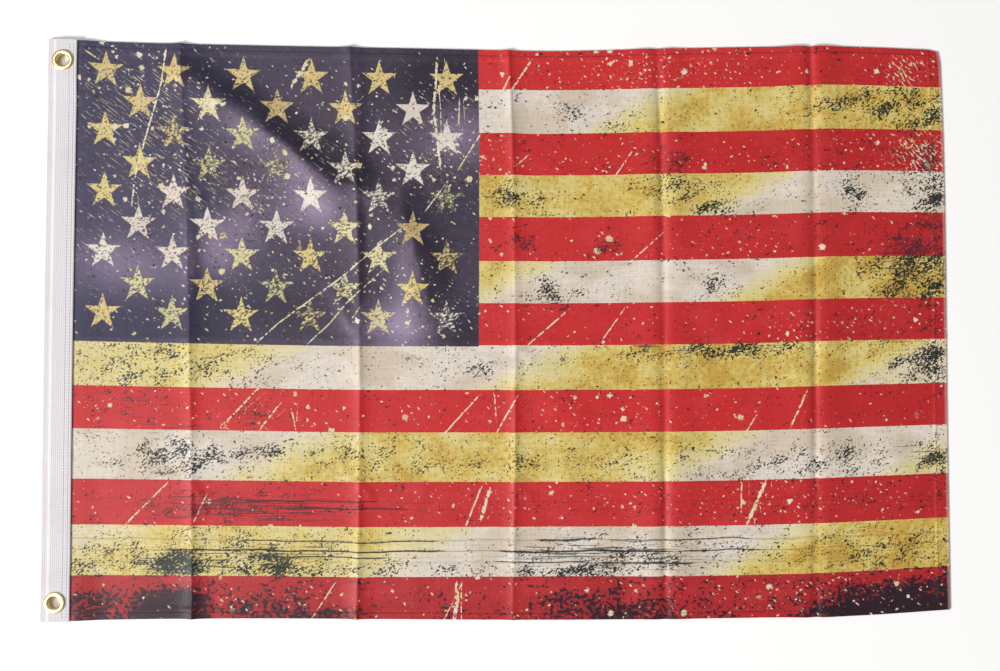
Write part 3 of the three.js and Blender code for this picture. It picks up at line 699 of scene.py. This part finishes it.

# Soft spots of each kind of wear and dirt, and of the painted sheen and shade on the canton: x, y, reach
# along, reach up, strength.
CHIPS = (
    (428, 176, 22, 20, 1.3), (408, 258, 10, 22, 0.7), (120, 262, 40, 24, 0.9), (215, 265, 60, 20, 0.5),
    (190, 90, 60, 20, 0.5), (145, 262, 95, 26, 0.75), (420, 262, 26, 18, 0.6), (60, 165, 160, 30, 0.4),
    (330, 165, 120, 26, 0.35), (390, 215, 60, 60, 0.3), (-380, 240, 70, 45, 0.7), (-330, 150, 70, 80, 0.5),
    (-220, 240, 80, 30, 0.3), (-230, 160, 60, 40, 0.7), (-60, 190, 60, 60, 0.8), (-60, 20, 50, 35, 0.7),
    (-180, 100, 70, 60, 0.45), (-330, 30, 90, 40, 0.35), (-120, 40, 60, 50, 0.4), (330, 5, 90, 24, 0.7),
    (100, -85, 120, 20, 0.5), (260, -170, 180, 22, 0.55), (-20, -170, 90, 22, 0.4),
    (300, -262, 120, 18, 0.9), (-100, -262, 200, 12, 0.3), (-300, -80, 120, 22, 0.3),
)
SCUFFS = (
    (-370, 220, 90, 80, 1.0), (-290, 130, 60, 60, 0.7), (-180, 170, 60, 60, 0.5), (-60, 190, 60, 70, 0.6),
    (-400, 80, 50, 60, 0.5),
)
GRIME = (
    (-385, -218, 60, 18, 0.35), (-322, -234, 20, 12, 0.8), (-250, -236, 80, 7, 0.4),
    (-140, -236, 120, 6, 0.5), (425, 176, 26, 18, 0.45), (62, 233, 14, 9, 0.6), (80, 216, 16, 8, 0.5),
    (320, 225, 30, 12, 0.4), (-315, -122, 30, 10, 0.35), (-245, -78, 34, 16, 0.5),
    (-235, -120, 24, 12, 0.6), (60, -238, 70, 7, 0.6), (-415, -236, 50, 7, 0.5), (110, 212, 34, 12, 0.3),
    (400, 225, 52, 22, 0.75), (10, 135, 34, 16, 0.65), (175, 140, 36, 16, 0.55), (217, 120, 26, 10, 0.9),
    (350, 135, 18, 16, 0.7), (433, 130, 24, 20, 0.6), (50, 40, 28, 14, 0.85), (217, 45, 16, 16, 0.5),
    (412, 50, 46, 24, 0.75), (-330, -35, 100, 22, 0.5), (212, -20, 110, 9, 0.75), (425, -35, 34, 22, 0.75),
    (-330, -128, 62, 20, 0.5), (436, -132, 20, 12, 0.75), (-255, -220, 100, 20, 0.5),
    (140, -220, 110, 18, 0.5), (380, -222, 80, 20, 0.5), (169, 170, 18, 16, 0.8), (108, 83, 24, 10, 0.75),
    (17, 93, 20, 13, 0.6), (415, 87, 36, 22, 0.7), (-265, -175, 110, 16, 0.6), (-380, -72, 44, 16, 0.5),
    (440, 60, 14, 240, 0.35), (-30, -35, 60, 16, 0.35), (-420, 150, 20, 90, 0.3), (-230, 150, 50, 60, 0.3),
    (300, -170, 150, 20, 0.25), (60, -130, 200, 20, 0.3), (330, -130, 90, 18, 0.4),
    (60, -175, 120, 14, 0.2), (-150, -120, 60, 18, 0.3), (350, 168, 90, 20, 0.25), (300, 95, 120, 18, 0.2),
    (350, 5, 90, 20, 0.2),
)
SMEAR = (
    (-250, -175, 100, 16, 0.85), (-235, -224, 110, 16, 0.6), (100, -222, 110, 16, 0.7),
    (-322, -236, 30, 9, 0.9), (415, 62, 40, 24, 0.35), (-360, -75, 40, 14, 0.4), (420, -130, 30, 12, 0.6),
    (418, 82, 34, 16, 0.35), (220, -16, 110, 7, 0.5), (169, 168, 20, 16, 0.45), (60, -60, 140, 14, 0.25),
    (-340, -100, 110, 12, 0.3),
)
# Fade, with painted sheen and painted shade: most of these spots pale or darken the canton beside its
# folds, as light and shade.
FADE_AND_PAINTED_LIGHT = (
    (-380, 5, 70, 26, -0.2), (-380, 240, 110, 90, -0.06), (-225, 20, 60, 26, -0.16), (-40, 0, 24, 30, -0.2),
    (-70, 255, 60, 40, -0.12), (-50, 120, 50, 60, -0.08), (-282, 80, 22, 28, 0.5), (-98, 62, 12, 46, 0.25),
    (-345, 60, 60, 24, 0.1), (-250, 200, 28, 20, 0.25), (-205, 160, 28, 22, 0.27), (-178, 132, 26, 22, 0.3),
    (-256, 117, 18, 24, 0.3), (-200, 118, 36, 20, 0.34), (-46, 200, 36, 30, 0.4), (-108, 4, 36, 24, 0.6),
    (-382, 64, 45, 28, 0.35), (-295, 264, 20, 14, -0.3), (-262, 240, 22, 14, -0.35),
    (-222, 210, 22, 16, -0.4), (-182, 184, 22, 16, -0.55), (-156, 160, 18, 16, -0.5),
    (-52, 252, 44, 24, -0.2), (-288, 22, 18, 30, -0.25), (-90, 120, 10, 20, -0.35),
    (-76, 88, 11, 20, -0.28), (-62, 58, 12, 26, -0.2),
)
# Soot along the bottom edge: x, reach along, strength.
SOOT = ((-322, 30, 0.95), (-395, 60, 0.55), (-230, 80, 0.5), (115, 90, 0.6), (400, 100, 1.1))
SOOT_HIGH = 42  # how far up it reaches

# Painted light over folds: the canton's colour is painted pale on one side of each fold, as painted sheen,
# and dark on the other, as painted shade: the change in painted tone below or to the left of the line, the
# one on its other side, how far both reach, and the line's points.
PAINTED_FOLD_LIGHT = (
    (0.22, -0.3, 10, ((-311, 150), (-306, 60), (-304, -10))),
    (0.12, -0.28, 8, ((-144, 284), (-144, 147), (-139, 60), (-137, -10))),
    (0.25, -0.42, 12, ((-100, 136), (-92, 98), (-79, 54), (-71, 10))),
    (0.3, -0.28, 14, ((-275, 222), (-216, 186), (-172, 147))),
    (-0.12, 0.1, 12, ((-249, 246), (-196, 214), (-150, 170))),
    (0.16, -0.16, 12, ((-180, 60), (-158, 26), (-143, -6))),
    (0.16, -0.12, 10, ((-96, -2), (-118, 6), (-137, -8))),
)
FOLD_BLEND = 3.5  # how far from the line one tone has given way to the other

# Scratches: width, then points.
SCRATCHES = (
    (0.9, (-335, 281), (-339, 247), (-348, 214), (-355, 188), (-364, 151), (-367, 119)),
    (0.8, (-414, 274), (-399, 265)),
    (0.8, (-17, 209), (-47, 161)),
    (0.7, (-55, 153), (-80, 119)),
    (0.8, (-101, 104), (-131, 81), (-156, 58), (-223, 7), (-245, -14)),
    (0.7, (-120, 62), (-156, 28), (-173, 7), (-195, -14)),
    (0.7, (-141, 26), (-151, 12)),
    (1.3, (-66, 278), (-70, 224), (-63, 163)),
    (0.8, (-44, 237), (-45, 207)),
    (1.9, (-193, 275), (-212, 245)),
    (1.0, (30, 277), (5, 239)),
    (0.8, (8, 260), (-2, 241)),
    (0.8, (26, 180), (13, 168)),
    (0.7, (132, 185), (111, 155)),
    (0.7, (162, 100), (126, 69)),
    (0.8, (68, 25), (23, -14)),
    (0.7, (122, 24), (97, -11)),
    (0.9, (-237, -53), (-276, -95), (-269, -100)),
    (0.9, (-219, -71), (-242, -101)),
    (0.8, (-210, -75), (-204, -102)),
    (0.8, (-23, -62), (-62, -105)),
    (0.8, (15, -62), (-9, -104)),
    (0.7, (-9, -61), (-7, -92)),
    (0.9, (306, -61), (297, -81), (288, -100)),
    (0.8, (256, -83), (241, -106)),
    (0.8, (-328, -151), (-372, -196)),
    (0.8, (-290, -161), (-306, -196)),
    (0.9, (-21, -152), (-39, -196)),
    (1.6, (-13, -154), (-23, -188)),
    (0.8, (239, -150), (238, -184)),
    (1.7, (264, -150), (243, -195)),
    (0.7, (-165, -247), (-191, -287)),
    (1.6, (-47, -248), (-46, -265), (-50, -288)),
    (0.7, (-41, -248), (-61, -288)),
)
SCRATCH_NEAR = 8  # how far from a scratch its distance is kept
SCRATCH_END = 3  # how far from each end it narrows


def scratch_layers(x, y):
    """Three layers of signed distance and width. Each layer's scratches stand clear of each other, so
    that between points of the grid the distance can be blended and still crosses 0 on the line."""
    layers = {name: [np.full(x.shape, float(SCRATCH_NEAR)), np.zeros(x.shape), []] for name in "abc"}
    for width, *run in SCRATCHES:
        d, signed, along, length = nearest_on_run(run, x, y)
        ends = smooth(along / SCRATCH_END) * smooth((length - along) / SCRATCH_END)
        for away, wide, runs in layers.values():
            if all(run_gap(run, other) > 2.2 * SCRATCH_NEAR for other in runs):
                near = d < SCRATCH_NEAR
                away[near] = signed[near]
                wide[near] = (width * ends * (1 - smooth(d / SCRATCH_NEAR * 2 - 1)))[near]
                runs.append(run)
                break
    return layers


def run_gap(run, other):
    """The least distance between points spaced closely along two runs."""
    lines = []
    for points in (run, other):
        points = np.array(points, float)
        steps = np.linspace(0, len(points) - 1, 20 * len(points))
        lines.append([np.interp(steps, range(len(points)), points[:, axis]) for axis in (0, 1)])
    (ax, ay), (bx, by) = lines
    return np.hypot(ax[:, None] - bx, ay[:, None] - by).min()


def star_chart(x, y):
    """Tone and wear of the star whose cell a point is in: the nearer of two staggered lattices."""
    tone, wear, best = np.zeros(x.shape), np.zeros(x.shape), np.full(x.shape, np.inf)
    for row, line in enumerate(STARS):
        for place, entry in enumerate(line.split()):
            at_x = STAR_FIRST[0] + STAR_PITCH[0] * (2 * place + row % 2)
            at_y = STAR_FIRST[1] - STAR_PITCH[1] * row - STAR_LOWER * (row % 2)
            d = np.hypot(x - at_x, y - at_y)
            nearer = d < best
            best = np.where(nearer, d, best)
            tone = np.where(nearer, STAR_TONES[entry[0]], tone)
            wear = np.where(nearer, int(entry[1]) / 4, wear)
    return tone, wear


def stain_and_sheen_map(x, y):
    """Everything that the print needs to know at a point of the flat cloth, by name. A bare amount is
    what there is everywhere, and soft spots come on top of it. A fold's painted sheen and shade die away
    from its line as e^(-d / reach), and soot is a sum of bells along the edge that falls off evenly
    upwards."""
    y = y - wander(PRINT_WAVE_DY, x / FLAG_W + 0.5)
    stripe_middles = (np.array(STRIPE_EDGES[:-1]) + STRIPE_EDGES[1:]) / 2
    middles = stripe_middles[::2]  # of the light stripes, and between them of the red ones
    band = np.searchsorted(-stripe_middles[1::2], -y)
    leaning = x - TEA_LEAN * np.clip((y - middles[band]) / STRIPE_HALF, -1, 1)
    yellow = sum(np.where(band == k, np.interp(leaning, *zip(*line)), 0) for k, line in enumerate(TEA))
    tone, wear = star_chart(x, y)
    # Fade, with the painted sheen and painted shade of the canton's folds on top.
    faded_and_painted_light = 0.2 + soft_spots(x, y, FADE_AND_PAINTED_LIGHT)
    for below, above, reach, run in PAINTED_FOLD_LIGHT:
        d, signed, along, length = nearest_on_run(run, x, y)
        ends = np.sin(math.pi * np.clip(along / length, 0.03, 0.97)) ** 0.5
        side = np.clip(signed / FOLD_BLEND, -1, 1) / 2 + 0.5
        faded_and_painted_light += (above + (below - above) * side) * ends * np.exp(-d / reach)
    rising = sum(s * np.exp(-(((x - at) / wide) ** 2)) for at, wide, s in SOOT)
    stains_and_sheen = {
        "print_y": y, "tea": yellow, "star_tone": tone, "star_wear": wear, "fade_and_painted_light": faded_and_painted_light,
        "chips": 0.17 + soft_spots(x, y, CHIPS), "scuffs": 0.2 + soft_spots(x, y, SCUFFS),
        "grime": 0.03 + soft_spots(x, y, GRIME), "smear": soft_spots(x, y, SMEAR),
        "soot": (0.15 + rising) * (1.25 - (y + FLAG_H / 2) / SOOT_HIGH).clip(0, 1.2),
    }
    for layer, (away, wide, _) in scratch_layers(x, y).items():
        stains_and_sheen["scratch_" + layer], stains_and_sheen["width_" + layer] = away, wide
    return stains_and_sheen


def store(piece, values):
    """Named numbers at the points of a piece's mesh."""
    for name, numbers in values.items():
        layer = piece.data.attributes.new(name, "FLOAT", "POINT")
        layer.data.foreach_set("value", numbers.ravel().astype(np.float32))


x, y = cloth_grid()
place_x, place_y = lay(x, y)
punches = [np.array(lay(np.float64(ex), np.float64(ey))) for ex, ey in EYELETS.values()]
flat = np.stack([x / FLAG_W + 0.5, y / FLAG_H + 0.5], -1)
top_face = np.stack([place_x, place_y, cloth_top(x, y)], -1)
low_face = np.stack([place_x, place_y, cloth_low(x, y)], -1)
cloth, used = sheet_mesh("printed_cloth", top_face, low_face, flat, punches, printed_cloth)
store(cloth, {name: np.concatenate([v.ravel()] * 2)[used] for name, v in stain_and_sheen_map(x, y).items()})
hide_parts("flag_cloth")
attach(cloth, "root")

# ----------------------------------------------------------
# The heading tape: white canvas webbing folded lengthwise round the hoist edge, sewn through, and the
# strip that both eyelets are set in. Past the cloth's edge its two layers close on each other.
TAPE_H = 571
TAPE_TOP_Z = CLOTH_IN_TAPE_Z + CLOTH_T + GAP + TAPE_T
CLOSED_TOP = 2 * TAPE_T + GAP
STEP_FROM, STEP_TO = 6.2, 8.8  # where the top layer steps up over the cloth's edge
NOSE = 1.1  # how far the fold is round
TAPE_STEP = 1.0  # of its grid
TAPE_CREASE_Y, TAPE_CREASE_HIGH, TAPE_CREASE_REACH = -125, 0.4, 5


def tape_skin(s, y, inset):
    """One face of the folded tape. s runs in from the lower edge, round the fold as half an ellipse and
    out again along the top. Inset is 0 on the outer face and the tape's thickness on the inner one."""
    turn = np.clip(s / NOSE, -1, 1) * math.pi / 2
    across = np.where(np.abs(s) > NOSE, np.abs(s), NOSE - (NOSE - inset) * np.cos(turn))
    top = CLOSED_TOP + (TAPE_TOP_Z - CLOSED_TOP) * smooth((across - STEP_FROM) / (STEP_TO - STEP_FROM))
    middle = CLOSED_TOP / 2
    straight = np.where(s > 0, top - inset, inset)
    z = np.where(np.abs(s) > NOSE, straight, middle + (middle - inset) * np.sin(turn))
    crease = TAPE_CREASE_HIGH * np.exp(-np.abs(y - TAPE_CREASE_Y) / TAPE_CREASE_REACH)
    z = z + heading_lift(y) + crease * smooth(across / STEP_TO)
    return np.stack([*lay(HOIST_X + across, y), z], -1)


# Bleached cotton canvas: staple yarn in a firm tape. It gives the eye a soft matt white with lengthwise
# ribs and small fibres, and almost no shine.
webbing, add = new_material("cotton_canvas_tape_bleached")
flat_mm = add("VectorMath", add("UVMap", uv_map="OFBake"), (2 * TAPE_W, TAPE_H, 0), operation="MULTIPLY")
RIB = 2.0  # drawn twice as coarse as the real ribs, so that they show
ribs = add("Math", add("Times", add("SeparateXYZ", flat_mm, out="X"), 2 * math.pi / RIB), operation="SINE")
picks = add("Math", add("Times", add("SeparateXYZ", flat_mm, out="Y"), 2 * math.pi / RIB), operation="SINE")
slub = blotches(1.1, 9, detail=2)
soil = blotches(30, 60, detail=5)
canvas = add("Over", linear("#DEDADD"), add("Rise", slub, 0.35, 0.75, 0.4), linear("#D0CBD2"))
canvas = add("Over", canvas, add("Rise", soil, 0.45, 0.75, 0.35), linear("#CFC8CC"))
# Painted shade: the troughs between the ribs are painted darker.
canvas = add("Over", canvas, add("Rise", ribs, 0.2, -0.9, 0.16), linear("#B9B2BC"))
relief = add("Sum", add("Times", ribs, 0.8), add("Times", picks, 0.35), add("Times", slub, 2.0))
bump = add("Bump", into={"Height": relief, "Strength": 0.6, "Distance": 0.0001})
finish = {"Base Color": canvas, "Roughness": 0.85, "Normal": bump, "Sheen Weight": 0.1,
          "Sheen Roughness": 0.6}
add("OutputMaterial", add("BsdfPrincipled", into=finish))

bend = NOSE * np.linspace(-1, 1, 9)
inward = np.linspace(NOSE, TAPE_W, round((TAPE_W - NOSE) / TAPE_STEP) + 1)[1:]
ends = TAPE_H / 2 - np.array([0, 0.4, 1.2])
inner_rows = y[:, 0][np.abs(y[:, 0]) < FLAG_H / 2 - 3]
s, y_tape = np.meshgrid(np.concatenate([-inward[::-1], bend, inward]),
                        np.concatenate([-ends, inner_rows, ends[::-1]]))
flat = np.stack([s / (2 * TAPE_W) + 0.5, y_tape / TAPE_H + 0.5], -1)
outer, inner = tape_skin(s, y_tape, 0), tape_skin(s, y_tape, TAPE_T)
tape, _ = sheet_mesh("folded_tape", outer, inner, flat, punches, webbing)
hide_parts("heading_tape")
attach(tape, "root")

# ----------------------------------------------------------
# Lockstitch: two rows of white thread hold the tape, and a row along each hem was sewn before the print
# went on, so that its thread has the print's colours.
STITCH, STITCH_WIDE, STITCH_HIGH = 2.3, 0.75, 0.42
TAPE_ROWS_U = (21.5, 25.6)  # from the hoist edge
# A stitch's rings: place along its half length, roundness, and number of sides.
STITCH_T = np.array([-1, -0.55, 0.55, 1])
STITCH_ROUND = np.array([0.3, 1, 1, 0.3])
SIDES = 6
ROW_START, ROW_CLEAR = 3, 4  # how far from the tape and from the cloth's edge a row ends


def stitches(x, y, z, along):
    """One closed grain of thread for each point: rings across a straight stitch, thick in the middle and
    small at both ends, where it dives into the cloth. Along is the direction of the row."""
    phi = np.arange(SIDES) * 2 * math.pi / SIDES
    ax, ay = along
    far = STITCH / 2 * STITCH_T[:, None] * np.ones(SIDES)
    wide = STITCH_WIDE / 2 * STITCH_ROUND[:, None] * np.cos(phi)
    high = STITCH_HIGH * (STITCH_ROUND[:, None] * np.sin(phi) + 0.5 * (STITCH_ROUND[:, None] - 1))
    grain = np.stack([far * ax - wide * ay, far * ay + wide * ax, high], -1).reshape(-1, 3)
    points = np.stack([x, y, z], -1)[:, None] + grain
    ring = np.arange(SIDES)
    nxt = (ring + 1) % SIDES
    wall = np.stack([ring, nxt, SIDES + nxt, SIDES + ring], -1)
    walls = [k * SIDES + wall for k in range(len(STITCH_T) - 1)]
    last = (len(STITCH_T) - 1) * SIDES
    caps = np.array([[3, 2, 1, 0], [5, 4, 3, 0], [last, last + 1, last + 2, last + 3],
                     [last, last + 3, last + 4, last + 5]])
    faces = np.concatenate([*walls, caps])[:, ::-1]
    faces = faces + (np.arange(len(x)) * len(grain))[:, None, None]
    return points.reshape(-1, 3), faces.reshape(-1, 4), np.repeat(np.stack([x, y], -1), len(grain), 0)


def sewn_rows(name, rows, surface, material):
    """Joins rows of stitches, given as x, y and direction, on a surface's height, into one piece."""
    made = [stitches(rx, ry, surface(rx, ry), along) for rx, ry, along in rows]
    starts = np.cumsum([0] + [len(points) for points, _, _ in made])
    points = np.concatenate([points for points, _, _ in made])
    points[:, 0], points[:, 1] = lay(points[:, 0], points[:, 1])
    faces = np.concatenate([faces + start for (_, faces, _), start in zip(made, starts)])
    middles = np.concatenate([at for _, _, at in made])
    flat = np.stack([middles[:, 0] / FLAG_W + 0.5, middles[:, 1] / FLAG_H + 0.5], -1)
    return mesh_piece(name, points * MM, faces, material, flat), middles


def tape_top(x, y):
    """Height of the tape's upper face."""
    return tape_skin(x - HOIST_X, y, 0)[..., 2]


level_x = np.arange(TAPE_EDGE_X + ROW_START, FLAG_W / 2 - ROW_CLEAR, STITCH_PITCH)
upright_y = np.arange(-FLAG_H / 2 + ROW_CLEAR, FLAG_H / 2 - ROW_CLEAR, STITCH_PITCH)
hem_rows = [(level_x, np.full_like(level_x, sign * (FLAG_H / 2 - HEM_ROW)), (1, 0)) for sign in (-1, 1)]
hem_rows += [(np.full_like(upright_y, FLAG_W / 2 - FLY_ROW), upright_y, (0, 1))]
hem_thread, middles = sewn_rows("hem_thread", hem_rows, cloth_top, printed_cloth)
store(hem_thread, stain_and_sheen_map(*middles.T))

# Spun polyester thread: bleached, of short fibres in a twist. It gives the eye small soft white grains
# that catch the light along their ridges.
thread, add = new_material("spun_polyester_thread_white")
to = {"Vector": add("TexCoord", out="Object"), "Scale": 900.0, "Distortion": 1.5}
twist = add("TexWave", into=to, bands_direction="DIAGONAL")
lint = add("Over", linear("#DDD8DC"), twist, linear("#C4BEC6"))
bump = add("Bump", into={"Height": twist, "Strength": 0.4, "Distance": 0.00008})
add("OutputMaterial", add("BsdfPrincipled", into={"Base Color": lint, "Roughness": 0.7, "Normal": bump}))
tape_rows = [(np.full_like(upright_y, HOIST_X + u), upright_y, (0, 1)) for u in TAPE_ROWS_U]
tape_thread, _ = sewn_rows("tape_thread", tape_rows, tape_top, thread)
for piece, slot in ((hem_thread, "printed_polyester"), (tape_thread, "heading_webbing")):
    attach(piece, "root")

# ----------------------------------------------------------
# Two brass eyelets: each was pressed from sheet as a flanged barrel, set through all the layers and
# clinched behind, so that both rims are rolled over and the metal is a little dulled.
EYELET_TURNS = 72
SEAT = EYELET_LIFT + TAPE_TOP_Z + GAP
BORE, BARREL, FLANGE = 5.9, 6.6, 10.3
FLANGE_EDGE, CLINCH_IN, CLINCH_HIGH = 0.2, 0.1, 0.95  # edge's height, clinch's step in, and its height
RIM_POINTS = 12


def eyelet_section():
    """Outline of the pressed metal, in radius and height: over the crown as half an ellipse from the
    flange's edge to the bore, down the bore, round the clinch in the same way, and up the barrel."""
    turn = np.linspace(0, math.pi, RIM_POINTS)
    middle, half = (FLANGE + BORE) / 2, (FLANGE - BORE) / 2
    over_top = SEAT + FLANGE_EDGE + (FLANGE_T - FLANGE_EDGE) * np.sin(turn) ** 0.8
    crown = np.stack([middle + half * np.cos(turn), over_top], -1)
    under = middle - CLINCH_IN - (half - CLINCH_IN) * np.cos(turn)
    clinch = np.stack([under, CLINCH_HIGH * (1 - np.sin(turn) ** 0.7)], -1)
    barrel = [[BARREL, FLANGE_T], [BARREL, SEAT]]
    return np.concatenate([crown, clinch, [[FLANGE - 2 * CLINCH_IN, FLANGE_T]], barrel, [[FLANGE, SEAT]]])


def turned(section, centre):
    """A closed outline of radius and height swept round an upright axis."""
    phi = np.arange(EYELET_TURNS) * 2 * math.pi / EYELET_TURNS
    r, z = section[:, 0], section[:, 1]
    ring = np.stack([centre[0] + r * np.cos(phi)[:, None], centre[1] + r * np.sin(phi)[:, None],
                     z + 0 * phi[:, None]], -1)
    at = np.arange(ring.shape[0] * ring.shape[1]).reshape(ring.shape[:2])
    after, beside = np.roll(at, -1, 0), np.roll(at, -1, 1)
    faces = np.stack([at, after, np.roll(after, -1, 1), beside], -1)
    return ring.reshape(-1, 3), faces.reshape(-1, 4)


# Brass: bare sheet, pressed and tumbled. It gives the eye a warm yellow metal that is nearly white in
# its highlights and brown where it turns away.
brass, add = new_material("brass_pressed_tumbled")
flat_mm = add("VectorMath", add("TexCoord", out="Object"), (1000, 1000, 1000), operation="MULTIPLY")
tarnish = blotches(2.2, 2.2, detail=4)
scuffed = blotches(6, 0.35, turn=30, detail=3)
metal = add("Over", linear("#F0DCA2"), add("Rise", tarnish, 0.5, 0.78, 0.5), linear("#D2B272"))
rough = add("MapRange", tarnish, 0.3, 0.75, 0.28, 0.4)
bump = add("Bump", into={"Height": add("Sum", scuffed, tarnish), "Strength": 0.3, "Distance": 0.00006})
finish = {"Base Color": metal, "Metallic": 1.0, "Roughness": rough, "Normal": bump}
add("OutputMaterial", add("BsdfPrincipled", into=finish))
for name, centre in zip(EYELETS, punches):
    points, faces = turned(eyelet_section(), centre)
    ring = mesh_piece(name + "_ring", points * MM, faces, brass)
    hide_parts(name)
    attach(ring, "root")

# ----------------------------------------------------------
# The studio: a white paper sweep under the flag, one large soft lamp high on the hoist's side, a long
# dim one above that side, and the camera nearly straight above.
FLOOR_SIZE, FLOOR_Z = 14, -0.0002  # metres: a hair under the flag
paper, add = new_material("paper_matt_white")
add("OutputMaterial", add("BsdfPrincipled", into={"Base Color": linear("#FDFDFD"), "Roughness": 0.95}))
edge = FLOOR_SIZE / 2
corners = np.array([(-edge, -edge), (edge, -edge), (edge, edge), (-edge, edge)])
corners = np.column_stack([corners, np.full(4, FLOOR_Z)])
floor = mesh_piece("studio_floor", corners, np.array([[0, 1, 2, 3]]), paper)
floor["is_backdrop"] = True


def lamp(name, place, long, wide, watts, colour="#FFFFFF"):
    """A soft oblong lamp that looks at the flag's middle, with its long side level."""
    light = bpy.data.lights.new(name, "AREA")
    light.shape, light.size, light.size_y = "RECTANGLE", long, wide
    light.energy, light.color = watts, linear(colour)[:3]
    stand = bpy.data.objects.new(name, light)
    stand.location = place
    stand.rotation_euler = (-mathutils.Vector(place)).to_track_quat("-Z", "Y").to_euler()
    bpy.context.scene.collection.objects.link(stand)


lamp("key_lamp", (-7.7, -5.2, 6.2), 2.6, 2.6, 1290, "#FFFDFB")
lamp("strip_lamp", (-2.5, 0.1, 4.7), 4.4, 0.9, 92)
world = bpy.data.worlds.new("studio_air")
world.use_nodes = True
world.node_tree.nodes["Background"].inputs["Color"].default_value = linear("#FFFFFF")
world.node_tree.nodes["Background"].inputs["Strength"].default_value = 0.22
bpy.context.scene.world = world
bpy.context.scene.view_settings.view_transform = "Standard"

camera = bpy.data.objects.new("camera", bpy.data.cameras.new("camera"))
camera.data.lens, camera.data.sensor_width = 35, 36
camera.location = (-0.0444, -0.0421, 0.9707)
camera.rotation_euler = [math.radians(angle) for angle in (2.093, -2.38, -0.141)]
bpy.context.scene.collection.objects.link(camera)
bpy.context.scene.camera = camera

boxes = {"cad": cad_box, "visual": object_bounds()}
boxes = {name: [list(map(float, corner)) for corner in box] for name, box in boxes.items()}
